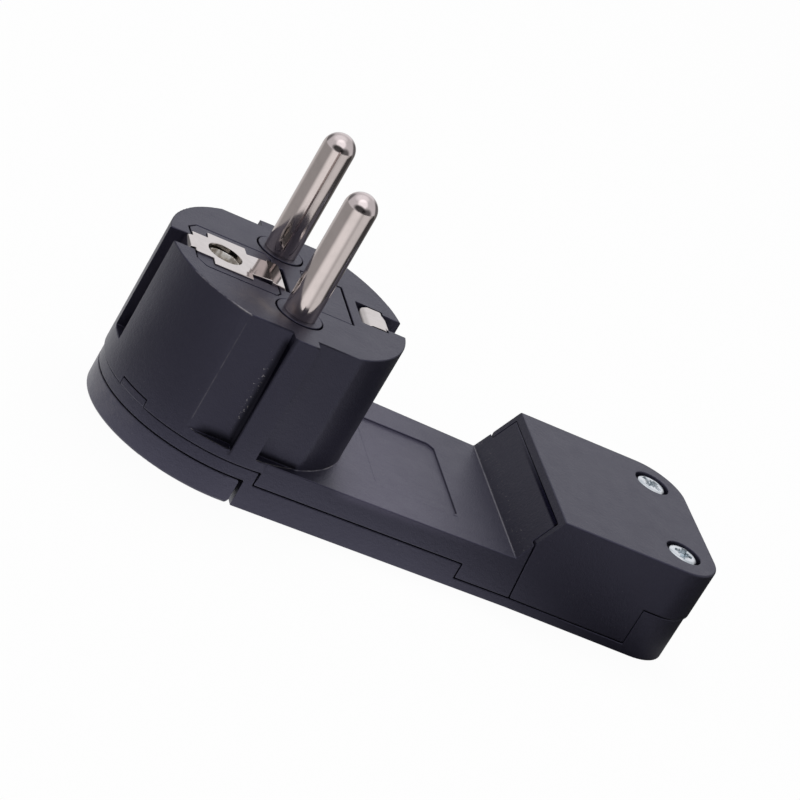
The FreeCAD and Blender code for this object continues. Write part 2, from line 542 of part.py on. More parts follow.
def terminal_cover():
    """Cover of the terminal box, with a lip round the tongue and two screw towers."""
    over = "spare"
    side = side_prism("cover_side", [
        (f"box_start + {HALF_GAP}", f"floor_thick + {HALF_GAP}"),
        (f"{STEP_X} + {HALF_GAP}", f"{TONGUE_STEP} + {HALF_GAP}"),
        (f"{SLOPE_FOOT} + slope_run", "box_height"),
        (f"{BOX_END} + {over}", "box_height"),
        (f"{BOX_END} + {over}", f"floor_thick + {HALF_GAP}"),
    ], f"2 * (box_half + {over})")
    body = common("cover_body", side,
                  box_plan("cover_plan", "0", SLOPE_FOOT, "0", "box_height"))
    tongue_room = side_prism("tongue_room", [
        (f"{SLOPE_FOOT} - 2 * {over}", "0"),
        (f"{SLOPE_FOOT} - 2 * {over}", "plate_height"),
        (f"{TONGUE_X} - {over}", f"{TONGUE_TOP} + {HALF_GAP}"),
        (f"{TONGUE_X} + tongue_thick + seam_gap", f"{TONGUE_TOP} + {HALF_GAP}"),
        ("box_start + tongue_thick", "plate_height"),
        ("box_start + tongue_thick", "0"),
    ], f"2 * {TONGUE_HALF} + seam_gap")
    hollow = common("cover_hollow",
                    box_plan("cover_inside", "side_wall", SLOPE_FOOT, "0", INSIDE_TOP),
                    side_prism("cover_inside_side", [
                        ("box_start + tongue_thick / 2", "0"),
                        ("box_start + tongue_thick / 2", "plate_height"),
                        (f"{TONGUE_X} + tongue_thick", INSIDE_TOP),
                        (BOX_END, INSIDE_TOP),
                        (BOX_END, "0"),
                    ], "2 * box_half"))
    end_room = box("cover_end_room", f"{END_WALL_X} - {HALF_GAP}", f"{BOX_END} + {over}",
                   f"-box_half - {over}", f"box_half + {over}", "0",
                   f"end_wall_height + {HALF_GAP}")
    shell = cut("cover_hollowed", body, tongue_room, hollow, end_room)
    towers = []
    holes = [rod("outlet_high", "outlet_radius", f"{BOX_END} - 2 * side_wall", "0",
                 "end_wall_height", "4 * side_wall", "X")]
    for side_name, sign in SIDES:
        y = f"{sign}{SCREW_Y}"
        towers.append(rod(f"tower_{side_name}", "tower_radius", SCREW_X, y, TOWER_FOOT,
                          f"{INSIDE_TOP} - {TOWER_FOOT} + cover_top_thick / 2"))
        holes.append(rod(f"sink_{side_name}", "screw_hole_radius", SCREW_X, y, SCREW_SEAT,
                         "screw_head_thick * 2"))
        holes.append(rod(f"clear_{side_name}", "screw_radius + screw_clear", SCREW_X, y,
                         f"{TOWER_FOOT} - {over}", "box_height"))
    raw = cut("cover_raw", fuse("cover_with_towers", shell, *towers), *holes)

    def on_top_rim(edge):
        bounds = edge.BoundBox
        height = sheet.get("box_height")
        level = abs(bounds.ZMin - height) < CLOSE and abs(bounds.ZMax - height) < CLOSE
        screw_hole = edge.Curve.TypeId == "Part::GeomCircle" and \
            abs(edge.Curve.Radius - sheet.get("screw_hole_radius")) < CLOSE
        return level and not screw_hole

    return rounded("terminal_cover", raw, "cover_round", on_top_rim)


def pull_handle():
    """Crescent handle round the back of the head; its square ends turn past the shell."""
    over = "spare"
    arc = cut("handle_arc",
              rod("handle_outer", "head_radius", "0", "0", "0", "handle_top"),
              rod("handle_hole", HANDLE_INNER, "0", "0", f"-{over}", f"handle_top + 2 * {over}"),
              box("handle_half", "0", f"head_radius + {over}", f"-head_radius - {over}",
                  f"head_radius + {over}", f"-{over}", f"handle_top + {over}"))
    arms = cut("handle_arms",
               neck_plan("handle_arms_outer", "0", "0", "handle_end", "0", "handle_top"),
               box("handle_arms_gap", f"-{over}", f"handle_end + {over}", f"-{HANDLE_INNER}",
                   HANDLE_INNER, f"-{over}", f"handle_top + {over}"))
    heel = side_prism("heel_cut_block", [
        ("handle_end - heel_cut", f"-{over}"), ("handle_end - heel_cut", "0"),
        ("handle_end", "heel_rise"), (f"handle_end + {over}", "heel_rise"),
        (f"handle_end + {over}", f"-{over}"),
    ], f"2 * (head_radius + {over})")
    length = "hinge_pin_out + block_gap"
    bores = [rod(f"handle_bore_{side}", "hinge_pin_radius + hinge_running", "hinge_x", start,
                 "hinge_z", f"{length} + {over}", "Y")
             for side, start in (("left", f"-{HANDLE_INNER} - ({length})"),
                                 ("right", f"{HANDLE_INNER} - {over}"))]
    raw = cut("handle_raw", fuse("handle_joined", arc, arms), heel, *bores)

    def on_top_corner(edge):
        bounds = edge.BoundBox
        end = sheet.get("handle_end")
        at_end = abs(bounds.XMin - end) < CLOSE and abs(bounds.XMax - end) < CLOSE
        return at_end and abs(bounds.ZMin - sheet.get("handle_top")) < CLOSE

    def on_outer_foot(edge):
        bounds = edge.BoundBox
        middle = sheet.get("head_radius") - sheet.get("handle_width") / 2
        outer = max(abs(bounds.YMin), abs(bounds.YMax), abs(bounds.XMin)) > middle
        return outer and bounds.ZMax < CLOSE < bounds.XLength

    eased = rounded("handle_eased", raw, "heel_round", on_top_corner)
    return rounded("pull_handle", eased, "foot_round", on_outer_foot)


def hinge_pins():
    """Steel pins: pressed into the centre block, running in the handle's arms."""
    length = "(hinge_pin_in + block_gap + hinge_pin_out)"
    inner = f"({BLOCK_RADIUS} - hinge_pin_in)"
    return [
        rod("handle_pivot_left", "hinge_pin_radius", "hinge_x", f"-{inner} - {length}", "hinge_z",
            length, "Y"),
        rod("handle_pivot_right", "hinge_pin_radius", "hinge_x", inner, "hinge_z", length, "Y"),
    ]


def contact_carrier():
    """Insulating core under the face: pin collars, earth island, bridge and skirts."""
    top = "(face_height - face_thick)"
    radius = "(head_radius - head_wall - carrier_fit)"
    half = f"({FLAT_Y} - head_wall - carrier_fit / 2)"
    disc = common("carrier_disc",
                  rod("carrier_round", radius, "0", "0", CARRIER_FOOT, f"{top} - {CARRIER_FOOT}"),
                  box("carrier_flats", f"-{radius}", radius, f"-{half}", half, CARRIER_FOOT, top))
    raised = f"({top} - inlay_root)"
    additions = [
        disc,
        plan_prism("island", island_outline("0"), raised, "face_height"),
        box("centre_pad", "pad_start", PAD_END, "-pad_half", "pad_half", raised, "face_height"),
    ]
    holes = []
    for name, y in PIN_PLACES:
        additions.append(rod(f"collar_{name}", "collar_radius", "0", y, raised,
                             f"face_height + collar_rise - {raised}"))
        holes.append(rod(f"pin_hole_{name}", "pin_radius - root_step + pin_fit", "0", y,
                         LEG_FOOT, "face_height"))
        holes.append(rod(f"shoulder_hole_{name}", "shoulder_radius + pin_fit", "0", y,
                         f"{CARRIER_FOOT} - spare", "spare + shoulder_thick"))
    for name, low, high in (("left", f"-{STRIP_REACH} + strip_fit", f"skirt_thick - {STRIP_REACH}"),
                            ("right", f"{STRIP_REACH} - skirt_thick",
                             f"{STRIP_REACH} - strip_fit")):
        additions.append(box(f"skirt_{name}", low, high, "-skirt_half", "skirt_half",
                             LEG_FOOT, f"{CARRIER_FOOT} + spare"))
    fit = "strip_fit"
    high = "face_height + spare"
    dip = f"{DIP_TOP} - strip_thick - {fit}"
    holes += [
        box("plate_bed", f"-{STRIP_REACH} + strip_notch_in - {fit}", "-hump_start",
            f"-strip_half - {fit}", f"strip_half + {fit}", STRIP_UNDER, high),
        box("plate_bed_left", f"-{LEG_X}", f"-{STRIP_REACH} + strip_notch_in",
            f"-strip_left_half - {fit}", f"strip_left_half + {fit}", STRIP_UNDER, high),
        box("dip", f"-hump_start - {fit}", "0", f"-strip_neck_half - {fit}",
            f"strip_neck_half + {fit}", dip, high),
        box("tunnel", "-hump_end", WINDOW_START, f"-strip_neck_half - {fit}",
            f"strip_neck_half + {fit}", dip, f"{DIP_TOP} + {fit}"),
        box("rise", f"{PAD_END} + inlay_gap * 2", LEG_X, "-window_half", "window_half", dip, high),
        box("leg_room_left", f"-{radius} - spare", f"-{STRIP_REACH} + {fit}", "-skirt_half",
            "skirt_half", f"{LEG_FOOT} - spare", high),
        box("leg_room_right", f"{STRIP_REACH} - {fit}", f"{radius} + spare", "-skirt_half",
            "skirt_half", f"{LEG_FOOT} - spare", high),
        rod("socket_hole", "socket_radius + socket_wall + socket_fit", "-earth_hole_x", "0",
            f"{EARTH_BAR_TOP} - spare", "face_height"),
    ]
    return cut("contact_carrier", fuse("carrier_solid", *additions), *holes)


def power_pin(name, y):
    """A solid round pin: domed tip, thinner root in its collar, shoulder and riveted tail."""
    shank_foot = "(face_height + collar_rise)"
    tip_z = "(face_height + pin_length - pin_radius)"
    shank = rod(name + "_shank", "pin_radius", "0", y, shank_foot, f"{tip_z} - {shank_foot}")
    root = rod(name + "_root", "pin_radius - root_step", "0", y, CARRIER_FOOT,
               f"{shank_foot} - {CARRIER_FOOT} + pin_radius")
    tip = doc.addObject("Part::Sphere", name + "_tip")
    bind(tip, "Radius", "pin_radius")
    bind(tip, "Placement.Base.y", y)
    bind(tip, "Placement.Base.z", tip_z)
    shoulder = rod(name + "_shoulder", "shoulder_radius", "0", y, CARRIER_FOOT, "shoulder_thick")
    tail = rod(name + "_tail", "tail_radius", "0", y, f"{CARRIER_FOOT} - tail_length",
               "tail_length + shoulder_thick")
    return fuse(name, shank, root, tip, shoulder, tail)


def earth_strip():
    """The bent strip of the earth contacts, trimmed to its changing width."""
    blank = side_prism("strip_blank", strip_outline(), "2 * strip_half")
    wide = "strip_half + spare"
    low = f"{LEG_FOOT} - spare"
    high = f"{STRIP_TOP} + spare"
    trims = []
    rise = f"({PAD_END} + inlay_gap * 2 + strip_fit)"
    bands = (
        ("leg_left", f"-{LEG_X} - spare", f"-{ISLAND_X}", "leg_half"),
        ("left", f"-{ISLAND_X}", f"-{STRIP_REACH} + strip_notch_in", "strip_left_half"),
        ("neck", "-hump_start", rise, "strip_neck_half"),
        ("right", rise, f"{STRIP_REACH} - groove_cut_in / 4", "strip_right_half"),
        ("leg_right", f"{STRIP_REACH} - groove_cut_in / 4", f"{LEG_X} + spare", "leg_half"),
    )
    for name, x_low, x_high, half in bands:
        trims.append(box(f"trim_{name}_front", x_low, x_high, f"-({wide})", f"-{half}", low, high))
        trims.append(box(f"trim_{name}_back", x_low, x_high, half, wide, low, high))
    for side, low_y, high_y in (("front", "-strip_half", "edge_notch - strip_neck_half"),
                                ("back", "strip_neck_half - edge_notch", "strip_half")):
        trims.append(box(f"trim_notch_{side}", "-hump_start", "-hump_top", low_y, high_y, low,
                         high))
    trims.append(rod("earth_pin_hole", "earth_hole_radius", "-earth_hole_x", "0",
                     f"{STRIP_UNDER} - spare", "strip_thick + 2 * spare"))
    return cut("earth_strip", blank, *trims)


def earth_socket():
    """Rolled spring sleeve under the strip's hole, with a slit along one side."""
    low = EARTH_BAR_TOP
    return cut("earth_socket",
               rod("socket_outer", "socket_radius + socket_wall", "-earth_hole_x", "0", low,
                   "socket_depth"),
               rod("socket_inner", "socket_radius", "-earth_hole_x", "0", f"{low} - spare",
                   "socket_depth + 2 * spare"),
               box("socket_slit_cut", "-earth_hole_x",
                   "socket_radius + socket_wall + spare - earth_hole_x",
                   "-socket_slit / 2", "socket_slit / 2", f"{low} - spare",
                   f"{STRIP_UNDER} - slit_top"))


def busbar(name, plate_y, run_y, height, start, half, tail):
    """A flat bar: a plate in the head, then a strip down and along the neck to its terminal."""
    bend = "bar_bend"
    end = f"{BLOCK_X} + bar_entry"
    run = side_prism(name + "_run", [
        (bend, f"{height} - bar_thick"), (bend, height), (f"{bend} + bar_thick", height),
        (f"{bend} + bar_thick", "bar_run + bar_thick"), (end, "bar_run + bar_thick"),
        (end, "bar_run"), (bend, "bar_run"),
    ], BAR_WIDTH)
    bind(run, "Placement.Base.y", run_y)
    plate = box(name + "_plate", start, f"{bend} + bar_thick", f"{plate_y} - {half}",
                f"{plate_y} + {half}", f"{height} - bar_thick", height)
    if not tail:
        return fuse(name, run, plate)
    return cut(name, fuse(name + "_bar", run, plate),
               rod(name + "_hole", "tail_radius + tail_fit", "0", plate_y,
                   f"{height} - bar_thick - spare", "bar_thick + 2 * spare"))


def terminal_bed():
    """Insulating bed with two dividing walls between the terminals."""
    end = f"{BED_START} + bed_length"
    slab = box("bed_slab", BED_START, end, f"-{BED_HALF}", BED_HALF, FLOOR_TOP, BED_TOP)
    walls = [box(f"bed_wall_{side}", BED_START, end, f"{sign}{TERMINAL_Y} / 2 - rib_thick / 2",
                 f"{sign}{TERMINAL_Y} / 2 + rib_thick / 2", FLOOR_TOP, f"{BED_TOP} + rib_height")
             for side, sign in SIDES]
    return fuse("terminal_bed", slab, *walls)


def terminal(name, y):
    """Clamping block with a wire hole, a slot for the busbar and a threaded hole."""
    block = box(name + "_block", BLOCK_X, f"{BLOCK_X} + block_length", f"{y} - {BLOCK_WIDTH} / 2",
                f"{y} + {BLOCK_WIDTH} / 2", BED_TOP, BLOCK_TOP)
    slot = box(name + "_slot", f"{BLOCK_X} - spare", f"{BLOCK_X} + bar_entry + tail_fit",
               f"{y} - {BAR_WIDTH} / 2 - tail_fit", f"{y} + {BAR_WIDTH} / 2 + tail_fit",
               "bar_run - tail_fit", "bar_run + bar_thick + tail_fit")
    wire = rod(name + "_wire", "wire_radius", f"{BLOCK_X} - spare", y, WIRE_Z,
               "block_length + 2 * spare", "X")
    thread = rod(name + "_thread", "grip_screw_radius + thread_fit", BLOCK_MIDDLE, y, WIRE_Z,
                 "box_height")
    return cut(name, block, slot, wire, thread)


def slotted_screw(name, x, y, seat, head, shank, cross):
    """A pan-head screw; a cross recess is two crossed slots of the same depth."""
    head_radius, head_thick = head
    radius, foot = shank
    solid = fuse(name + "_solid", rod(name + "_head", head_radius, x, y, seat, head_thick),
                 rod(name + "_shank", radius, x, y, foot, f"{seat} - ({foot}) + {head_thick} / 4"))
    top = f"{seat} + {head_thick}"
    if cross:
        spans = (("long", "recess_length", "recess_width / 2"),
                 ("short", "recess_width / 2", "recess_length"))
    else:
        spans = (("long", f"{head_radius} + spare", "recess_width / 2"),)
    slots = [box(f"{name}_{label}", f"{x} - ({half_x})", f"{x} + ({half_x})",
                 f"{y} - ({half_y})", f"{y} + ({half_y})",
                 f"{top} - recess_depth * {head_thick} / screw_head_thick", f"{top} + spare")
             for label, half_x, half_y in spans]
    return cut(name, solid, *slots)


def cable_clamp():
    """Bar that holds the cable down on its saddle, with a hollow for the cable."""
    half = f"({CLAMP_Y} + clamp_post_radius + clamp_edge)"
    bar = box("clamp_bar", f"{CLAMP_X} - clamp_width / 2", f"{CLAMP_X} + clamp_width / 2",
              f"-{half}", half, CLAMP_FOOT, f"{CLAMP_FOOT} + clamp_thick")
    holes = [rod(f"clamp_hole_{side}", "clamp_screw_radius + screw_clear", CLAMP_X,
                 f"{sign}{CLAMP_Y}", f"{CLAMP_FOOT} - spare", "clamp_thick + 2 * spare")
             for side, sign in SIDES]
    hollow = rod("clamp_hollow", "outlet_radius", f"{CLAMP_X} - clamp_width", "0",
                 CLAMP_HOLLOW_Z, "2 * clamp_width", "X")
    return cut("cable_clamp", bar, hollow, *holes)


pieces = [
    head_shell(), base_shell(), terminal_cover(), pull_handle(), contact_carrier(),
    earth_strip(), earth_socket(), terminal_bed(), cable_clamp(),
    busbar("earth_busbar", "0", "0", EARTH_BAR_TOP, "-earth_hole_x - bar_head",
           "earth_plate_half", False),
]
pieces += hinge_pins()
for name, pin_y, terminal_y in (("line", f"({PIN_Y})", TERMINAL_Y),
                                ("neutral", f"-({PIN_Y})", f"-{TERMINAL_Y}")):
    pieces.append(power_pin(name + "_pin", pin_y))
    pieces.append(busbar(name + "_busbar", pin_y, terminal_y, CARRIER_FOOT, "-bar_head",
                         "bar_plate_half", True))
for name, y in (("line", TERMINAL_Y), ("neutral", f"-{TERMINAL_Y}"), ("earth", "0")):
    pieces.append(terminal(name + "_terminal", y))
    pieces.append(slotted_screw(
        name + "_terminal_screw", BLOCK_MIDDLE, y, BLOCK_TOP,
        ("grip_head_radius", "grip_head_thick"),
        ("grip_screw_radius", f"{BLOCK_TOP} - grip_screw_length"), False))
for side, sign in SIDES:
    pieces.append(slotted_screw(
        "clamp_screw_" + side, CLAMP_X, f"{sign}{CLAMP_Y}", f"{CLAMP_FOOT} + clamp_thick",
        ("clamp_head_radius", "clamp_head_thick"),
        ("clamp_screw_radius", f"{CLAMP_FOOT} + clamp_thick - clamp_screw_length"), False))
    pieces.append(slotted_screw(
        "cover_screw_" + side, SCREW_X, f"{sign}{SCREW_Y}", SCREW_SEAT,
        ("screw_head_radius", "screw_head_thick"),
        ("screw_radius", "floor_thick + screw_foot"), True))

doc.recompute()
for item in doc.Objects:
    if "Invalid" in item.State or "Error" in item.State:
        raise RuntimeError(f"{item.Name} did not compute: {item.State}")
os.makedirs("parts", exist_ok=True)
for piece in pieces:
    piece.Label = piece.Name
    shape = piece.Shape
    if shape.isNull() or not shape.isValid() or not shape.Solids:
        raise RuntimeError(f"{piece.Name} has no valid shape")
    shape.exportStep(f"parts/{piece.Name}.step")
    print(f"{piece.Name}: {len(shape.Solids)} solid, {shape.Volume:.2f} cubic mm")
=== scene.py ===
import bmesh
import bpy
import math
from mathutils import Matrix, Vector


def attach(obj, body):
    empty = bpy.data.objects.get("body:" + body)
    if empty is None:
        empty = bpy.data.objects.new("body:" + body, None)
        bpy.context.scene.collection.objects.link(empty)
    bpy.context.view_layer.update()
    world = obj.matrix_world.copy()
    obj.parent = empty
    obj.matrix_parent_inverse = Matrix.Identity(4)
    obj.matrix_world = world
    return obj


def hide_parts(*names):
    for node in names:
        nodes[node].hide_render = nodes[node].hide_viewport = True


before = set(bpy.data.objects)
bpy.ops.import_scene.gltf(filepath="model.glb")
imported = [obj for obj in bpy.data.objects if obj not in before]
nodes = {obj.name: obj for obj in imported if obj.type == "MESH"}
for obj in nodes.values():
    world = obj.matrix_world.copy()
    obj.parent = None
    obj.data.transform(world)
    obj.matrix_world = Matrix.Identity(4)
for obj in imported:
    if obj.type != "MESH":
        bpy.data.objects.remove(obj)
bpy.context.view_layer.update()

MM = 0.001
scene = bpy.context.scene
scene.view_settings.view_transform = "Standard"


def node_box(name):
    """The lowest and the highest corner of a node of the model, in millimetres."""
    source = nodes[name]
    points = [source.matrix_world @ vertex.co / MM for vertex in source.data.vertices]
    return [Vector([pick(values) for values in zip(*points)]) for pick in (min, max)]


# Sizes in millimetres. The head's axis is at x = 0 and the neck runs along x. What the boxes of
# the model's nodes give is read from them.

# Head and face
HEAD_HIGH = node_box("head_shell")[1]
SOCKET_LOW, SOCKET_HIGH = node_box("earth_socket")
FACE_Z = HEAD_HIGH.z
DRUM_RADIUS = HEAD_HIGH.y
RIM_RADIUS = node_box("pull_handle")[1].y
FLAT_DEPTH = 1.75
FLAT_Y = RIM_RADIUS - FLAT_DEPTH
FLAT_HALF = math.sqrt(DRUM_RADIUS ** 2 - FLAT_Y ** 2)
RIB_HALF = 1.85
EARTH_HOLE_X = (SOCKET_LOW.x + SOCKET_HIGH.x) / 2
EARTH_HOLE_RADIUS = 2.55

# Plate, slope and terminal cover
COVER_HIGH = node_box("terminal_cover")[1]
PLATE_Z = 7.6
PANEL_X = 22.13
PANEL_END_X = 35.2
PANEL_HALF = 10.12
SLOPE_FOOT_X = 43.35
LIP_HEIGHT = 1.25
LIP_WIDTH = 1.2
TONGUE_TOP_Z = COVER_HIGH.z - LIP_HEIGHT
TONGUE_HALF = COVER_HIGH.y - LIP_WIDTH

# Contact pins
PIN_LOW, PIN_HIGH = node_box("line_pin")
CARRIER_TOP_Z = node_box("contact_carrier")[1].z
PIN_SPREAD = PIN_LOW.y + PIN_HIGH.y
PIN_RADIUS = 2.4
PIN_FOOT_EDGE = 0.05
PIN_ROOT_RADIUS = 2.0
PIN_SHOULDER_Z = 16.0
PIN_SHOULDER_THICK = 1.1
PIN_TAIL_RADIUS = 1.5
PIN_TAIL_EDGE = 0.15
PIN_SIDES = 96
PIN_DOME_STEPS = 16

# Cover screws. Each step of the head's round says how far in and how far down it is,
# and each cut of its recess is a length, a width, a depth and a turn in degrees.
SCREW_LOW, SCREW_HIGH = node_box("cover_screw_right")
SCREW_SPREAD = SCREW_LOW.y + SCREW_HIGH.y
SCREW_HEAD_RADIUS = 2.35
SCREW_X = SCREW_HIGH.x - SCREW_HEAD_RADIUS
SCREW_TOP_Z = SCREW_HIGH.z
SCREW_HEAD_HEIGHT = 2.0
SCREW_HEAD_EDGE = 0.15
SCREW_SIDES = 64
SCREW_HEAD_ROUND = ((0.0, 0.42), (0.07, 0.26), (0.22, 0.13), (0.55, 0.04), (1.0, 0.0))
SCREW_RADIUS = 1.45
SCREW_FOOT_Z = 4.2
SCREW_POINT_RADIUS = 1.0
SCREW_POINT_RISE = 0.5
RECESS_CUTS = ((3.4, 0.8, 0.8, 0), (2.7, 0.8, 0.8, 90), (2.2, 0.3, 0.35, 45), (2.2, 0.3, 0.35, 135))
RECESS_EDGE = 0.05

# Eased edges: their widths, and the length under which an edge is too short to ease
HOUSING_EDGE = 0.13
FINE_EDGE = 0.08
SLEEVE_EDGE = 0.06
CROWDED = 0.2

# Camera, fitted to the photograph: place in millimetres, turns in degrees, focal length in pixels
CAMERA_PLACE = Vector((-154.5113, -421.1183, 188.9194))
CAMERA_HEADING = -22.8462
CAMERA_TILT = 69.3087
CAMERA_ROLL = 30.9642
FOCAL_PIXELS = 3505.954
PICTURE_PIXELS = 800
SENSOR_WIDTH = 36.0

# Colours
PLASTIC = (0.0074, 0.0069, 0.0122, 1.0)
PLASTIC_DEEP = (0.0056, 0.0052, 0.0095, 1.0)
# A lighter copy of the housing plastic for the handle: painted light, for the light the floor
# throws on it.
HANDLE_PLASTIC_PAINTED_LIGHTER = (0.0280, 0.0270, 0.0380, 1.0)
GLOSS_TINT = (0.70, 0.68, 0.96, 1.0)
# Pale grey of real scuffs and specks, also used for the painted highlight on the ledges.
SCUFF_AND_HIGHLIGHT_GREY = (0.40, 0.38, 0.37, 1.0)
# Black of fine joints, also used for painted shade in deep corners, under the lip and in the earth
# hole.
JOINT_AND_SHADE_BLACK = (0.002, 0.002, 0.003, 1.0)
DUST_BROWN = (0.060, 0.046, 0.036, 1.0)
# Painted shade on the wall of the earth hole.
HOLE_SHADE_BROWN = (0.030, 0.022, 0.016, 1.0)
# Painted light at the handle's lower left end.
PAINTED_LIGHT_GREY = (0.100, 0.090, 0.088, 1.0)
# Painted light on the neck's plate beside the head.
PAINTED_PLATE_LIGHT = (0.36, 0.32, 0.46, 1.0)
# Painted shade streaks on the earth sleeve.
SHADE_STREAK_BROWN = (0.20, 0.15, 0.11, 1.0)


# Node helpers
class Tree:
    """Short ways to lay nodes and links in the tree of a material or of the world."""

    def __init__(self, owner, coordinates):
        owner.use_nodes = True
        self.owner = owner
        self.tree = owner.node_tree
        self.point = self.node("ShaderNodeTexCoord").outputs[coordinates]

    def node(self, kind, **settings):
        made = self.tree.nodes.new(kind)
        for key, value in settings.items():
            setattr(made, key, value)
        return made

    def feed(self, socket, value):
        """Link a socket to another node's output, or set its value."""
        if isinstance(value, bpy.types.NodeSocket):
            self.tree.links.new(value, socket)
        else:
            socket.default_value = value

    def shade(self, **looks):
        """Feed sockets of the main shader. An underscore stands for a space in a name."""
        shader = self.tree.nodes["Principled BSDF"]
        for name, value in looks.items():
            self.feed(shader.inputs[name.replace("_", " ")], value)

    def math(self, operation, *values):
        made = self.node("ShaderNodeMath", operation=operation)
        for socket, value in zip(made.inputs, values):
            self.feed(socket, value)
        return made.outputs[0]

    def product(self, first, *others):
        """Masks and shares multiplied by each other."""
        for other in others:
            first = self.math("MULTIPLY", first, other)
        return first

    def squares(self, first, second):
        """The sum of two squares."""
        return self.math("ADD", self.math("POWER", first, 2.0), self.math("POWER", second, 2.0))

    def radius(self, x, y):
        """The distance from an upright axis."""
        return self.math("SQRT", self.squares(x, y))

    def ramp(self, value, low, high):
        """0 at low, 1 at high, smooth between and level beyond. High may be the smaller one."""
        made = self.node("ShaderNodeMapRange", interpolation_type="SMOOTHSTEP")
        self.feed(made.inputs["Value"], value)
        made.inputs["From Min"].default_value = low
        made.inputs["From Max"].default_value = high
        return made.outputs[0]

    def edge(self, value, low, high):
        """A ramp between two places in millimetres."""
        return self.ramp(value, low * MM, high * MM)

    def near(self, value, centre, reach):
        """1 at a place, falling to 0 at a distance from it, both in millimetres."""
        gap = self.math("ABSOLUTE", self.math("SUBTRACT", value, centre * MM))
        return self.edge(gap, reach, 0.0)

    def axes(self):
        made = self.node("ShaderNodeSeparateXYZ")
        self.feed(made.inputs[0], self.point)
        return made.outputs

    def noise(self, scale, detail=3.0, roughness=0.6, stretch=None):
        """Random values between 0 and 1. A small stretch along an axis draws them out along it."""
        made = self.node("ShaderNodeTexNoise")
        place = self.point
        if stretch:
            mapping = self.node("ShaderNodeMapping")
            self.feed(mapping.inputs["Vector"], self.point)
            mapping.inputs["Scale"].default_value = stretch
            place = mapping.outputs[0]
        self.feed(made.inputs["Vector"], place)
        made.inputs["Scale"].default_value = scale
        made.inputs["Detail"].default_value = detail
        made.inputs["Roughness"].default_value = roughness
        return made.outputs["Fac"]

    def cloud(self, scale, low, high, detail=3.0, roughness=0.6):
        """Soft random patches: noise raised to 0 and 1 outside two levels."""
        return self.ramp(self.noise(scale, detail, roughness), low, high)

    def specks(self, scale, threshold, width=0.04):
        """Small random dots, fewer of them at a higher threshold."""
        return self.cloud(scale, threshold, threshold + width)

    def blend(self, amount, first, second):
        """A colour between two."""
        made = self.node("ShaderNodeMix", data_type="RGBA")
        for socket, value in zip((made.inputs[0], made.inputs[6], made.inputs[7]),
                                 (amount, first, second)):
            self.feed(socket, value)
        return made.outputs[2]

    def mix(self, amount, first, second):
        """A number between two."""
        made = self.node("ShaderNodeMix", data_type="FLOAT")
        for socket, value in zip((made.inputs[0], made.inputs[2], made.inputs[3]),
                                 (amount, first, second)):
            self.feed(socket, value)
        return made.outputs[0]

    def bump(self, height, strength, distance, under=None):
        """A normal that follows a height, on top of another one if given."""
        made = self.node("ShaderNodeBump")
        made.inputs["Strength"].default_value = strength
        made.inputs["Distance"].default_value = distance
        self.feed(made.inputs["Height"], height)
        if under is not None:
            self.feed(made.inputs["Normal"], under)
        return made.outputs[0]

    def along(self, aim, direction):
        """The cosine of the angle between an aim and a direction."""
        made = self.node("ShaderNodeVectorMath", operation="DOT_PRODUCT")
        self.feed(made.inputs[0], aim)
        made.inputs[1].default_value = Vector(direction).normalized()
        return made.outputs["Value"]


# Finishes
def grained_plastic(name, marks=(), light=PLASTIC, joints=()):
    """Fine-grained matte housing plastic. Each mark gives a place's mask and its colour.

    Each of the joints and shades gives the mask of a fine gap, or of painted shade in a deep corner
    or under a lip; these send little light back.
    """
    t = Tree(bpy.data.materials.new(name), "Object")
    colour = t.blend(t.noise(55.0, roughness=0.55), PLASTIC_DEEP, light)
    colour = t.blend(t.product(t.specks(3100.0, 0.73), 0.33), colour, SCUFF_AND_HIGHLIGHT_GREY)
    for mark in marks:
        mask, paint = mark(t)
        colour = t.blend(mask, colour, paint)
    # Joints and painted shade are painted black and made metallic, so they send back almost no
    # light.
    deep = 0.0
    for darkening in joints:
        mask = darkening(t)
        colour = t.blend(mask, colour, JOINT_AND_SHADE_BLACK)
        deep = t.math("MAXIMUM", mask, deep)
    pebble = t.noise(1700.0, detail=2.0, roughness=0.5)
    normal = t.bump(pebble, strength=0.12, distance=0.0003)
    normal = t.bump(t.noise(5200.0), strength=0.30, distance=0.00015, under=normal)
    rough = t.math("MULTIPLY_ADD", t.noise(300.0), 0.12, 0.34)
    t.shade(Base_Color=colour, Roughness=rough, Normal=normal, Metallic=deep, IOR=1.5,
            Specular_IOR_Level=0.86, Specular_Tint=GLOSS_TINT)
    return t.owner


def plated(name, base, deep, rough, streak, mark=None, metallic=1.0):
    """Plated metal with small dull patches and fine polish marks.

    The marks are drawn out along the axis where the streak is small.
    """
    t = Tree(bpy.data.materials.new(name), "Object")
    patches = t.noise(420.0)
    colour = t.blend(t.ramp(patches, 0.35, 0.75), base, deep)
    roughness = t.math("MULTIPLY_ADD", patches, 0.05, rough)
    if mark:
        mask, paint = mark(t)
        colour = t.blend(mask, colour, paint)
        roughness = t.math("MAXIMUM", roughness, t.product(mask, 0.5))
    polish = t.noise(900.0, detail=4.0, stretch=streak)
    t.shade(Base_Color=colour, Metallic=metallic, Roughness=roughness,
            Normal=t.bump(polish, strength=0.09, distance=0.00004))
    return t.owner


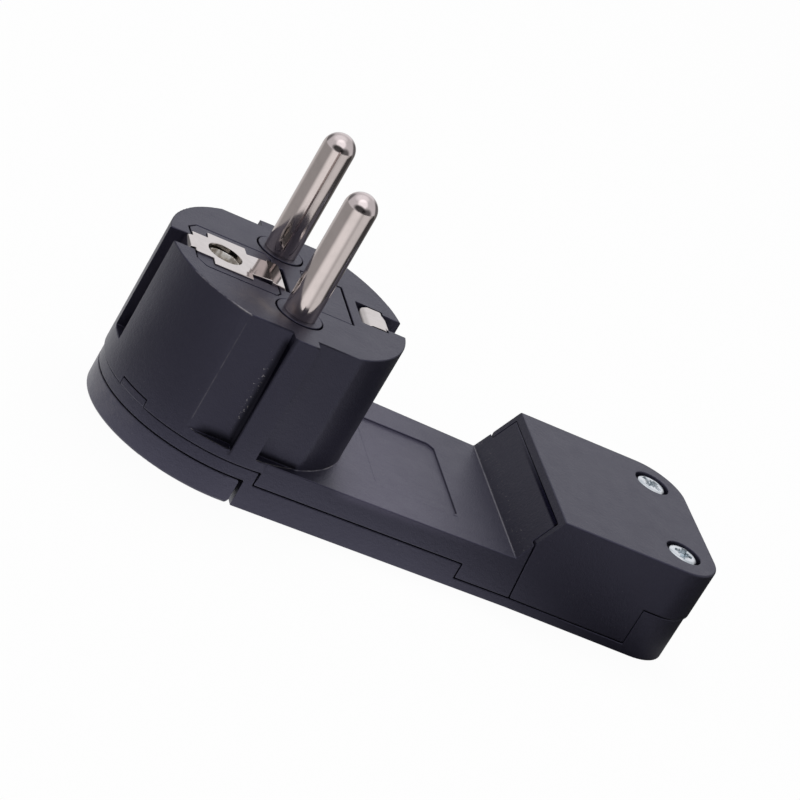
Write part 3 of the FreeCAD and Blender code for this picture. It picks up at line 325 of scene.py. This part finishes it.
# Painted shade on the metal
def hole_wall_shade(t):
    """Painted shade on the wall of the earth hole: patchy brown darkening above, and a black band
    below it.
    """
    x, y, z = t.axes()
    radius = t.radius(t.math("SUBTRACT", x, EARTH_HOLE_X * MM), y)
    wall = t.product(t.edge(radius, EARTH_HOLE_RADIUS + 0.11, EARTH_HOLE_RADIUS + 0.05),
                     t.edge(z, FACE_Z + 0.14, FACE_Z + 0.02))
    slant = t.math("MULTIPLY_ADD", x, 0.16, z)
    gap = t.edge(slant, 24.30, 24.10)
    patches = t.math("MULTIPLY_ADD", t.cloud(800.0, 0.40, 0.56), -0.55, 0.85)
    return t.product(wall, t.math("MAXIMUM", gap, patches)), HOLE_SHADE_BROWN


def sleeve_shade_streaks(t):
    """Painted shade on the sleeve's wall: brown streaks, and black at its left side, by the gap."""
    gap = t.edge(t.axes()["X"], EARTH_HOLE_X - 1.3, EARTH_HOLE_X - 1.8)
    streaks = t.ramp(t.noise(1300.0, stretch=(1.0, 1.0, 0.5)), 0.47, 0.62)
    mask = t.math("MAXIMUM", gap, t.product(streaks, 0.65))
    return mask, t.blend(gap, SHADE_STREAK_BROWN, JOINT_AND_SHADE_BLACK)


# Marks on the housing: real wear and dust, and painted light and highlights
def rib_scuff(t):
    """Whitish rubbed specks on the side flat, along the corner left of the middle rib."""
    x, y, z = t.axes()
    beside = t.product(t.edge(x, -3.6, -2.6), t.edge(x, -1.9, -2.3))
    height = t.product(t.edge(z, 8.5, 11.0), t.edge(z, 25.6, 18.0))
    outside = t.product(t.edge(y, 0.4 - FLAT_Y, 0.1 - FLAT_Y),
                        t.edge(x, 0.15 - RIB_HALF, -0.15 - RIB_HALF))
    place = t.product(beside, height, outside)
    flecks = t.ramp(t.math("ADD", t.noise(2600.0), t.product(place, 0.12)), 0.70, 0.76)
    return t.product(flecks, t.ramp(place, 0.0, 0.2), 0.5), SCUFF_AND_HIGHLIGHT_GREY


def flat_edge_line(t):
    """The faint light line at the corner of the drum and the side flat."""
    x, y, z = t.axes()
    line = t.product(t.near(x, 0.02 - FLAT_HALF, 0.14), t.edge(y, 0.5 - FLAT_Y, 0.2 - FLAT_Y))
    height = t.product(t.edge(z, 8.4, 9.5), t.edge(z, 25.8, 24.0))
    return t.product(line, height, t.cloud(700.0, 0.30, 0.60), 0.10), SCUFF_AND_HIGHLIGHT_GREY


def handle_painted_light(t):
    """Painted light: paler, patchy plastic low at the handle's left end, near the floor."""
    x, y, z = t.axes()
    place = t.product(t.edge(x, -12.5, -17.0), t.edge(z, 0.4, 2.4))
    patchy_light = t.cloud(500.0, 0.38, 0.66, detail=4.0, roughness=0.65)
    return t.product(place, patchy_light, 0.35), PAINTED_LIGHT_GREY


def slope_foot_light_line(t):
    """A thin light line along the foot of the slope, with light specks round it."""
    x, y, z = t.axes()
    line = t.product(t.near(x, SLOPE_FOOT_X, 0.16), t.near(z, PLATE_Z, 0.25),
                     t.cloud(350.0, 0.30, 0.55), 0.16)
    zone = t.product(t.near(x, SLOPE_FOOT_X + 0.7, 2.2), t.near(z, PLATE_Z + 1.2, 2.4))
    flecks = t.product(zone, t.specks(3400.0, 0.66, 0.05), 0.6)
    return t.math("MAXIMUM", line, flecks), SCUFF_AND_HIGHLIGHT_GREY


def ledge_highlight(t):
    """A painted highlight: a thin light line on the ledges below the side flats and at the head's
    right foot.
    """
    x, y, z = t.axes()
    radius = t.radius(x, y)
    foot = t.product(t.near(radius, DRUM_RADIUS, 0.12), t.edge(x, 8.0, 8.5))
    ledge = t.product(t.near(radius, RIM_RADIUS, 0.10),
                      t.edge(t.math("ABSOLUTE", x), FLAT_HALF + 0.13, FLAT_HALF - 0.07))
    line = t.product(t.math("MAXIMUM", foot, ledge), t.near(z, PLATE_Z + 0.02, 0.14))
    return t.product(line, t.cloud(260.0, 0.34, 0.60), 0.42), SCUFF_AND_HIGHLIGHT_GREY


def face_dust(t):
    """A faint brownish rubbed patch on the face, between the earth plate and the front pin."""
    x, y, z = t.axes()
    place = t.product(t.near(x, -5.5, 6.5), t.near(y, -11.0, 4.2))
    level = t.edge(z, FACE_Z - 0.2, FACE_Z - 0.1)
    return t.product(place, t.cloud(240.0, 0.30, 0.65), level, 0.75), DUST_BROWN


def face_rim_scuff(t):
    """The worn edge of the face at the front left, strongest at the corner of the side flat."""
    x, y, z = t.axes()
    high = t.product(t.edge(z, FACE_Z - 0.30, FACE_Z - 0.18), t.edge(y, -8.0, -10.5))
    line = t.product(t.near(t.radius(x, y), DRUM_RADIUS - 0.08, 0.10), high,
                     t.edge(x, 0.37 - FLAT_HALF, -0.03 - FLAT_HALF))
    corner = t.math("MULTIPLY_ADD", t.near(x, -9.2, 2.2), 0.3, 0.2)
    return t.product(line, t.cloud(900.0, 0.36, 0.58), corner), SCUFF_AND_HIGHLIGHT_GREY


def plate_painted_light(t):
    """Painted light: a faint pale lift on the neck's plate, strongest beside the head."""
    x, y, z = t.axes()
    level = t.near(z, PLATE_Z - 0.15, 1.2)
    place = t.product(t.edge(x, 43.0, 19.0), t.edge(x, 13.0, 17.0))
    uneven = t.math("MULTIPLY_ADD", t.noise(240.0), 0.3, 0.85)
    return t.product(place, uneven, level, 0.075), PAINTED_PLATE_LIGHT


# The fine joint of the housing, and painted shade in its deep corners and under the cover's lip
def panel_line(t):
    """The fine joint at the front and left edges of the label panel."""
    x, y, z = t.axes()
    along_x = t.product(t.edge(x, PANEL_X + 0.47, PANEL_X + 0.87),
                        t.edge(x, PANEL_END_X, PANEL_END_X - 0.1))
    along_y = t.edge(t.math("ABSOLUTE", y), PANEL_HALF - 0.62, PANEL_HALF - 0.82)
    front = t.product(t.near(y, -PANEL_HALF, 0.26), along_x)
    left = t.product(t.near(x, PANEL_X, 0.22), along_y)
    return t.product(t.math("MAXIMUM", front, left), t.near(z, PLATE_Z, 0.8), 0.75)


def rib_corner_shade(t):
    """Painted shade in the deep corner at the left of the middle rib, and at the foot of the flat
    beside it.
    """
    x, y, z = t.axes()
    short_of_rib = t.edge(x, 0.07 - RIB_HALF, 0.01 - RIB_HALF)
    side = t.product(t.edge(x, -2.9, -1.9), short_of_rib, t.edge(z, 25.6, 24.0))
    foot = t.product(t.edge(z, PLATE_Z + 1.8, PLATE_Z + 0.3), t.edge(x, -7.8, -5.0),
                     short_of_rib)
    place = t.product(t.edge(y, 0.3 - FLAT_Y, 0.1 - FLAT_Y), t.edge(y, -17.80, -17.70),
                      t.edge(z, PLATE_Z - 0.05, PLATE_Z + 0.1))
    return t.product(t.math("MAXIMUM", side, foot), place, 0.75)


def flat_foot_shade(t):
    """Painted shade in the deep corner at the foot of the flat right of the middle rib."""
    x, y, z = t.axes()
    foot = t.product(t.edge(z, PLATE_Z + 1.1, PLATE_Z + 0.3),
                     t.edge(z, PLATE_Z - 0.05, PLATE_Z + 0.1))
    along = t.product(t.edge(x, RIB_HALF + 0.05, RIB_HALF + 0.75), t.edge(x, 8.6, 7.8))
    place = t.product(t.edge(y, 0.3 - FLAT_Y, 0.1 - FLAT_Y), t.edge(y, -17.6, -17.4))
    return t.product(foot, along, place, 0.7)


def under_lip_shade(t):
    """Painted shade under the cover's lip, at the top of the slope."""
    x, y, z = t.axes()
    band = t.product(t.edge(z, TONGUE_TOP_Z - 0.6, TONGUE_TOP_Z - 0.3), t.edge(x, 40.0, 42.0))
    inside = t.edge(t.math("ABSOLUTE", y), TONGUE_HALF + 0.05, TONGUE_HALF - 0.1)
    return t.product(band, inside, t.edge(y, 13.0, -8.0))


# Mesh helpers
def finished(mesh, name, material, replaced, body="body"):
    """Make the piece's object, on its body and standing for its nodes."""
    mesh.materials.clear()
    mesh.materials.append(material)
    piece = bpy.data.objects.new(name, mesh)
    scene.collection.objects.link(piece)
    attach(piece, body)
    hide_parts(*replaced)


def smooth(mesh):
    """Smooth where the mesh curves, sharp where it turns by more than 35 degrees."""
    mesh.shade_smooth()
    mesh.set_sharp_from_angle(angle=math.radians(35.0))


def evaluated_mesh(piece, name):
    """A plain mesh of a piece with its modifiers applied."""
    graph = bpy.context.evaluated_depsgraph_get()
    graph.update()
    mesh = bpy.data.meshes.new_from_object(piece.evaluated_get(graph))
    mesh.name = name
    return mesh


def mesh_from(work, name):
    """End a bmesh as a named mesh."""
    mesh = bpy.data.meshes.new(name)
    work.to_mesh(mesh)
    work.free()
    return mesh


def on_scene(name, mesh):
    """A new object of a mesh, linked to the scene."""
    piece = bpy.data.objects.new(name, mesh)
    scene.collection.objects.link(piece)
    return piece


def add_easing(piece, width, segments, limit):
    """Round the chosen edges of a piece slightly."""
    easing = piece.modifiers.new("eased edges", "BEVEL")
    easing.width = width * MM
    easing.segments = segments
    easing.limit_method = limit
    easing.use_clamp_overlap = False
    return easing


def eased_copy(node, name, edge_width, angle):
    """A welded copy of a node. Its sharp edges are slightly rounded where there is room."""
    source = nodes[node]
    work = bmesh.new()
    work.from_mesh(source.data)
    bmesh.ops.transform(work, matrix=source.matrix_world, verts=work.verts)
    bmesh.ops.remove_doubles(work, verts=work.verts, dist=2e-6)
    bmesh.ops.dissolve_limit(work, angle_limit=math.radians(0.4), verts=work.verts,
                             edges=work.edges)
    crowded = set()
    for edge in work.edges:
        if edge.calc_length() < CROWDED * MM:
            crowded.update(edge.verts)
    weights = work.edges.layers.float.new("bevel_weight_edge")
    for edge in work.edges:
        room = not crowded.intersection(edge.verts)
        sharp = len(edge.link_faces) == 2 and edge.calc_face_angle() > math.radians(angle)
        edge[weights] = 1.0 if room and sharp else 0.0
    mesh = mesh_from(work, name)
    smooth(mesh)
    piece = on_scene(name + "_work", mesh)
    easing = add_easing(piece, edge_width, segments=3, limit="WEIGHT")
    easing.miter_outer = "MITER_ARC"
    even = piece.modifiers.new("even normals", "WEIGHTED_NORMAL")
    even.keep_sharp = True
    made = evaluated_mesh(piece, name)
    bpy.data.objects.remove(piece)
    return made


def dress(node, name, material, edge_width, angle=28.0, body="body"):
    """Put a node's eased copy in its place."""
    finished(eased_copy(node, name, edge_width, angle), name, material, [node], body)


# Camera
def make_camera():
    """The photograph's view, from a distant camera."""
    data = bpy.data.cameras.new("camera")
    data.sensor_width = SENSOR_WIDTH
    data.lens = FOCAL_PIXELS / PICTURE_PIXELS * SENSOR_WIDTH
    data.clip_start = 0.02
    data.clip_end = 60.0
    place = Matrix.Translation(CAMERA_PLACE * MM)
    for degrees, axis in ((CAMERA_HEADING, "Z"), (CAMERA_TILT, "X"), (CAMERA_ROLL, "Z")):
        place = place @ Matrix.Rotation(math.radians(degrees), 4, axis)
    camera = on_scene("camera", data)
    camera.matrix_world = place
    scene.camera = camera


make_camera()

# Housing
shell_plain = grained_plastic("grained housing plastic")
# The head's plastic carries real wear and dust, painted light and highlights, and painted shade in
# its corners and under the lip.
shell_head = grained_plastic(
    "grained housing plastic with rubbed places",
    marks=(rib_scuff, flat_edge_line, slope_foot_light_line, ledge_highlight, face_dust, face_rim_scuff,
           plate_painted_light),
    joints=(panel_line, rib_corner_shade, flat_foot_shade, under_lip_shade))
# The handle's plastic is painted lighter, and its mark paints more light low at its left end.
shell_handle = grained_plastic("handle plastic painted lighter", marks=(handle_painted_light,), light=HANDLE_PLASTIC_PAINTED_LIGHTER)
dress("head_shell", "head_dressed", shell_head, HOUSING_EDGE)
dress("base_shell", "base_dressed", shell_plain, HOUSING_EDGE)
dress("terminal_cover", "cover_dressed", shell_plain, HOUSING_EDGE)
dress("pull_handle", "pull_handle_dressed", shell_handle, HOUSING_EDGE, body="handle")
dress("contact_carrier", "carrier_dressed", shell_plain, FINE_EDGE)

# Metal
nickel = plated("warm nickel plate", base=(0.76, 0.67, 0.65, 1), deep=(0.70, 0.62, 0.60, 1),
                rough=0.09, streak=(1.0, 1.0, 0.08))
# The strip's mark paints shade on the wall of its earth hole.
strip_nickel = plated("nickel strip", base=(0.76, 0.71, 0.68, 1), deep=(0.70, 0.65, 0.62, 1),
                      rough=0.05, streak=(0.1, 1.0, 1.0), mark=hole_wall_shade)
# The sleeve's deep colour and its streaks are painted shade inside the earth hole.
sleeve_metal = plated("sleeve metal with painted shade", base=(1.0, 0.98, 0.95, 1), deep=(0.42, 0.35, 0.27, 1),
                      rough=0.22, streak=(1.0, 1.0, 0.3), mark=sleeve_shade_streaks, metallic=0.2)
zinc = plated("blue-white zinc", base=(0.86, 0.89, 0.91, 1), deep=(0.42, 0.50, 0.54, 1),
              rough=0.20, streak=(1.0, 1.0, 1.0))
brass = plated("plain brass", base=(0.72, 0.55, 0.27, 1), deep=(0.60, 0.44, 0.20, 1),
               rough=0.30, streak=(1.0, 0.1, 1.0))
steel = plated("plain steel", base=(0.56, 0.57, 0.58, 1), deep=(0.46, 0.47, 0.48, 1),
               rough=0.32, streak=(0.1, 1.0, 1.0))
dress("earth_strip", "earth_strip_dressed", strip_nickel, FINE_EDGE, angle=32.0)
dress("earth_socket", "earth_socket_dressed", sleeve_metal, SLEEVE_EDGE, angle=40.0)


# Pieces made by geometry trees
def new_group(name, inputs):
    """A geometry tree with a mesh in and out and named number inputs."""
    group = bpy.data.node_groups.new(name, "GeometryNodeTree")
    group.interface.new_socket("Geometry", in_out="INPUT", socket_type="NodeSocketGeometry")
    identifiers = {}
    for label in inputs:
        made = group.interface.new_socket(label, in_out="INPUT", socket_type="NodeSocketFloat")
        identifiers[label] = made.identifier
    group.interface.new_socket("Geometry", in_out="OUTPUT", socket_type="NodeSocketGeometry")
    start = group.nodes.new("NodeGroupInput")
    end = group.nodes.new("NodeGroupOutput")
    return group, identifiers, start, end


def pair_tree(name, material):
    """Sets a piece on two points across the middle plane, each with its own turn."""
    group, identifiers, start, end = new_group(name, ("Spread", "First turn", "Second turn"))
    link = group.links.new
    joined = group.nodes.new("GeometryNodeJoinGeometry")
    for sign, label in ((-0.5, "First turn"), (0.5, "Second turn")):
        half = group.nodes.new("ShaderNodeMath")
        half.operation = "MULTIPLY"
        half.inputs[1].default_value = sign
        link(start.outputs["Spread"], half.inputs[0])
        place = group.nodes.new("ShaderNodeCombineXYZ")
        link(half.outputs[0], place.inputs["Y"])
        point = group.nodes.new("GeometryNodePoints")
        point.inputs["Count"].default_value = 1
        link(place.outputs[0], point.inputs["Position"])
        turn = group.nodes.new("ShaderNodeCombineXYZ")
        link(start.outputs[label], turn.inputs["Z"])
        rotation = group.nodes.new("FunctionNodeEulerToRotation")
        link(turn.outputs[0], rotation.inputs[0])
        copies = group.nodes.new("GeometryNodeInstanceOnPoints")
        link(point.outputs[0], copies.inputs["Points"])
        link(start.outputs["Geometry"], copies.inputs["Instance"])
        link(rotation.outputs[0], copies.inputs["Rotation"])
        link(copies.outputs[0], joined.inputs[0])
    real = group.nodes.new("GeometryNodeRealizeInstances")
    link(joined.outputs[0], real.inputs[0])
    paint = group.nodes.new("GeometryNodeSetMaterial")
    paint.inputs["Material"].default_value = material
    link(real.outputs[0], paint.inputs["Geometry"])
    link(paint.outputs[0], end.inputs[0])
    return group, identifiers


def pair_of(mesh, name, material, spread, first_turn, second_turn):
    """A mesh set twice across the middle plane, with turns in radians, as one plain mesh."""
    group, identifiers = pair_tree("pair of " + name, material)
    piece = on_scene(name + "_work", mesh)
    modifier = piece.modifiers.new("tree", "NODES")
    modifier.node_group = group
    modifier[identifiers["Spread"]] = spread * MM
    modifier[identifiers["First turn"]] = first_turn
    modifier[identifiers["Second turn"]] = second_turn
    made = evaluated_mesh(piece, name)
    piece.modifiers.clear()
    bpy.data.objects.remove(piece)
    smooth(made)
    return made


def turned_mesh(name, profile, sides):
    """A round mesh from (radius, height) steps in millimetres, closed at both ends."""
    work = bmesh.new()
    rings = []
    for radius, height in profile:
        if radius == 0:
            rings.append([work.verts.new((0, 0, height * MM))])
            continue
        rings.append([work.verts.new((radius * MM * math.cos(math.tau * step / sides),
                                      radius * MM * math.sin(math.tau * step / sides),
                                      height * MM)) for step in range(sides)])
    for low, high in zip(rings, rings[1:]):
        for step in range(sides):
            after = (step + 1) % sides
            if len(low) == 1:
                work.faces.new((low[0], high[after], high[step]))
            elif len(high) == 1:
                work.faces.new((low[step], low[after], high[0]))
            else:
                work.faces.new((low[step], low[after], high[after], high[step]))
    bmesh.ops.recalc_face_normals(work, faces=work.faces)
    return mesh_from(work, name)


def pin_mesh():
    """A contact pin: tail, shoulder, thin root, straight shank and domed tip.

    The full shank begins at the top of the carrier.
    """
    tail_z = PIN_LOW.z
    shoulder = PIN_HIGH.x
    shoulder_top = PIN_SHOULDER_Z + PIN_SHOULDER_THICK
    foot_z = CARRIER_TOP_Z
    profile = [(0, tail_z), (PIN_TAIL_RADIUS - PIN_TAIL_EDGE, tail_z),
               (PIN_TAIL_RADIUS, tail_z + PIN_TAIL_EDGE), (PIN_TAIL_RADIUS, PIN_SHOULDER_Z),
               (shoulder, PIN_SHOULDER_Z), (shoulder, shoulder_top),
               (PIN_ROOT_RADIUS, shoulder_top), (PIN_ROOT_RADIUS, foot_z),
               (PIN_RADIUS - PIN_FOOT_EDGE, foot_z), (PIN_RADIUS, foot_z + PIN_FOOT_EDGE)]
    dome_z = PIN_HIGH.z - PIN_RADIUS
    for step in range(PIN_DOME_STEPS):
        angle = math.pi / 2 * step / PIN_DOME_STEPS
        profile.append((PIN_RADIUS * math.cos(angle), dome_z + PIN_RADIUS * math.sin(angle)))
    profile.append((0, PIN_HIGH.z))
    return turned_mesh("pin", profile, PIN_SIDES)


def screw_mesh():
    """A cover screw: domed head with a small edge below, and a plain shank."""
    rim = SCREW_HEAD_RADIUS
    seat_z = SCREW_TOP_Z - SCREW_HEAD_HEIGHT
    profile = [(0, SCREW_FOOT_Z), (SCREW_POINT_RADIUS, SCREW_FOOT_Z),
               (SCREW_RADIUS, SCREW_FOOT_Z + SCREW_POINT_RISE), (SCREW_RADIUS, seat_z),
               (rim - SCREW_HEAD_EDGE, seat_z), (rim, seat_z + SCREW_HEAD_EDGE)]
    profile += [(rim - inward, SCREW_TOP_Z - down) for inward, down in SCREW_HEAD_ROUND]
    profile.append((0, SCREW_TOP_Z))
    return turned_mesh("screw", profile, SCREW_SIDES)


def cut_recess(mesh):
    """Sink the cross of a screw head, with four short ticks between its arms, into it."""
    work = bmesh.new()
    for length, width, depth, turn in RECESS_CUTS:
        made = bmesh.ops.create_cube(work, size=1.0)
        matrix = Matrix.Translation((0, 0, SCREW_TOP_Z * MM)) @ \
            Matrix.Rotation(math.radians(turn), 4, "Z") @ \
            Matrix.Diagonal((length * MM, width * MM, 2 * depth * MM, 1))
        bmesh.ops.transform(work, matrix=matrix, verts=made["verts"])
    cutter = on_scene("recess", mesh_from(work, "recess"))
    piece = on_scene("screw_work", mesh)
    sink = piece.modifiers.new("recess", "BOOLEAN")
    sink.object = cutter
    sink.solver = "EXACT"
    sink.use_self = True
    easing = add_easing(piece, RECESS_EDGE, segments=2, limit="ANGLE")
    easing.angle_limit = math.radians(40)
    made = evaluated_mesh(piece, "screw_cut")
    bpy.data.objects.remove(piece)
    bpy.data.objects.remove(cutter)
    return made


pins = pair_of(pin_mesh(), "contact_pins", nickel, PIN_SPREAD, first_turn=0.3, second_turn=1.4)
finished(pins, "contact_pins", nickel, ["line_pin", "neutral_pin"])
screws = pair_of(cut_recess(screw_mesh()), "cover_screws", zinc, SCREW_SPREAD, first_turn=1.2,
                 second_turn=2.3)
screws.transform(Matrix.Translation((SCREW_X * MM, 0, 0)))
finished(screws, "cover_screws", zinc, ["cover_screw_left", "cover_screw_right"])

# Inner pieces, which stay the model's own
INNER = (
    (brass, ("line_busbar", "neutral_busbar", "earth_busbar", "line_terminal",
             "neutral_terminal", "earth_terminal")),
    (steel, ("line_terminal_screw", "neutral_terminal_screw", "earth_terminal_screw",
             "clamp_screw_left", "clamp_screw_right", "handle_pivot_left",
             "handle_pivot_right")),
    (grained_plastic("inner moulding plastic"), ("terminal_bed", "cable_clamp")),
)
for material, names in INNER:
    for name in names:
        for place in nodes[name].material_slots:
            place.material = material

# Stage and light, in metres. In reflections the floor shows brighter and darker sheets and the
# room brighter and darker patches. A sheet has its share of full white, its direction, and the
# angles off it where the sheet ends and where it is full, in degrees. A patch has its share, its
# direction, and the cosines of those two angles.
FLOOR_LEVEL = 0.34
FAR_SHEETS = ((0.55, 247, 40, 8), (0.33, 311, 36, 10), (0.26, 90, 53, 12), (-0.20, 28, 32, 12))
MIDDLE_SHEETS = ((0.62, 128, 42, 12), (0.22, 278, 50, 12), (-0.18, 350, 40, 10))
FLOOR_HALF = 6.0
FLOOR_DROP = 0.0001
ROOM_LEVEL = 0.64
ROOM_PATCHES = ((0.34, (-0.21, 0.26, 0.94), 0.75, 0.97),
                (0.55, (-0.20, -0.46, 0.87), 0.80, 0.94),
                (0.22, (0.363, 0.862, 0.353), 0.88, 0.975),
                (0.34, (-0.45, -0.89, 0.02), 0.86, 0.97),
                (-0.52, (0.50, -0.86, 0.02), 0.72, 0.93),
                (-0.50, (0.85, 0.53, 0.02), 0.84, 0.96),
                (-0.46, (-0.502, 0.862, 0.068), 0.88, 0.98))


def floor_sheets(t, aim, sheets):
    """The floor's level with its sheets laid on it."""
    level = FLOOR_LEVEL
    for share, azimuth, ends, full in sheets:
        angle = math.radians(azimuth)
        cosine = t.along(aim, (math.cos(angle), math.sin(angle), 0.0))
        sheet = t.ramp(cosine, math.cos(math.radians(ends)), math.cos(math.radians(full)))
        level = t.math("MULTIPLY_ADD", sheet, share, level)
    return level


def floor_in_reflections(t):
    """The floor's level in reflections: brightest beside the head, patchy further off.

    The places are in millimetres.
    """
    x, y, z = t.axes()
    normalize = t.node("ShaderNodeVectorMath", operation="NORMALIZE")
    t.feed(normalize.inputs[0], t.point)
    aim = normalize.outputs[0]
    past_box = t.product(t.edge(x, 72.0, 84.0), t.edge(t.math("ABSOLUTE", y), 62.0, 40.0))
    far = t.mix(past_box, floor_sheets(t, aim, FAR_SHEETS), 0.05)
    fading = t.math("MULTIPLY_ADD", t.edge(x, 58.0, 28.0), 0.75, 0.25)
    middle = t.product(floor_sheets(t, aim, MIDDLE_SHEETS), fading)
    beside = t.math("MULTIPLY_ADD", t.edge(x, 66.0, 28.0), 1.02, 0.06)
    away = t.radius(t.math("MINIMUM", x, 0.0), y)
    level = t.mix(t.edge(away, 38.0, 20.0), middle, beside)
    return t.mix(t.edge(t.radius(x, y), 70.0, 80.0), level, far)


def floor_material():
    """Pale paper: white to the camera, with its own level in reflections."""
    t = Tree(bpy.data.materials.new("pale floor"), "Object")
    t.shade(Base_Color=(0.55, 0.55, 0.55, 1), Roughness=0.9, Specular_IOR_Level=0.1)
    path = t.node("ShaderNodeLightPath")
    camera_ray = path.outputs["Is Camera Ray"]
    glow = t.node("ShaderNodeEmission")
    t.feed(glow.inputs["Strength"], t.mix(camera_ray, floor_in_reflections(t), 1.0))
    mirrored = t.math("MAXIMUM", path.outputs["Is Transmission Ray"],
                      path.outputs["Is Glossy Ray"])
    both = t.node("ShaderNodeMixShader")
    t.feed(both.inputs[0], t.math("MAXIMUM", t.product(camera_ray, 0.96), mirrored))
    t.feed(both.inputs[1], t.tree.nodes["Principled BSDF"].outputs[0])
    t.feed(both.inputs[2], glow.outputs[0])
    t.feed(t.tree.nodes["Material Output"].inputs[0], both.outputs[0])
    return t.owner


def make_floor():
    """A wide sheet of paper just under the object."""
    work = bmesh.new()
    bmesh.ops.create_grid(work, x_segments=1, y_segments=1, size=FLOOR_HALF)
    floor = on_scene("floor", mesh_from(work, "floor"))
    floor.data.materials.append(floor_material())
    floor.location.z = -FLOOR_DROP


def area_light(name, place, target, size, power):
    """A lamp at a place, turned to a target, that no reflection shows."""
    data = bpy.data.lights.new(name, "AREA")
    data.shape = "RECTANGLE"
    data.size, data.size_y = size
    data.energy = power
    lamp = on_scene(name, data)
    lamp.location = place
    aim = Vector(target) - Vector(place)
    lamp.rotation_euler = aim.to_track_quat("-Z", "Y").to_euler()
    lamp.visible_glossy = False


def room_in_reflections(t):
    """The room's level in reflections: its patches, and the dim shape behind the camera."""
    level = ROOM_LEVEL
    for share, direction, ends, full in ROOM_PATCHES:
        patch = t.ramp(t.along(t.point, direction), ends, full)
        level = t.math("MULTIPLY_ADD", patch, share, level)
    wide = t.math("DIVIDE", t.along(t.point, (0.92, -0.39, 0.0)), 0.72)
    tall = t.math("DIVIDE", t.along(t.point, (0.137, 0.326, 0.935)), 0.40)
    inside = t.ramp(t.squares(wide, tall), 1.3, 0.35)
    behind = t.ramp(t.along(t.point, (-0.363, -0.862, 0.353)), 0.2, 0.5)
    return t.product(level, t.math("MULTIPLY_ADD", t.product(inside, behind), -0.93, 1.0))


def make_world():
    """A soft room: white to the camera, dim for plain light, patchy in reflections."""
    world = bpy.data.worlds.new("soft room")
    scene.world = world
    t = Tree(world, "Generated")

    def light(node, colour, strength):
        t.feed(node.inputs["Color"], colour)
        t.feed(node.inputs["Strength"], strength)
        return node.outputs[0]

    def choose(amount, first, second):
        made = t.node("ShaderNodeMixShader")
        for socket, value in zip(made.inputs, (amount, first, second)):
            t.feed(socket, value)
        return made.outputs[0]

    plain = light(t.tree.nodes["Background"], (0.95, 0.96, 1.0, 1), 0.25)
    white = light(t.node("ShaderNodeBackground"), (1, 1, 1, 1), 1.0)
    mirrored = light(t.node("ShaderNodeBackground"), (0.96, 0.96, 1.0, 1), room_in_reflections(t))
    path = t.node("ShaderNodeLightPath")
    seen = choose(path.outputs["Is Glossy Ray"], plain, mirrored)
    seen = choose(path.outputs["Is Camera Ray"], seen, white)
    t.feed(t.tree.nodes["World Output"].inputs[0], seen)


make_floor()
make_world()
area_light("overhead", (0.10, 0.25, 0.75), target=(0.02, 0, 0.01), size=(0.6, 0.5), power=6.0)
area_light("front", (-0.25, -0.60, 0.55), target=(0.0, 0, 0.02), size=(0.3, 0.3), power=3.5)
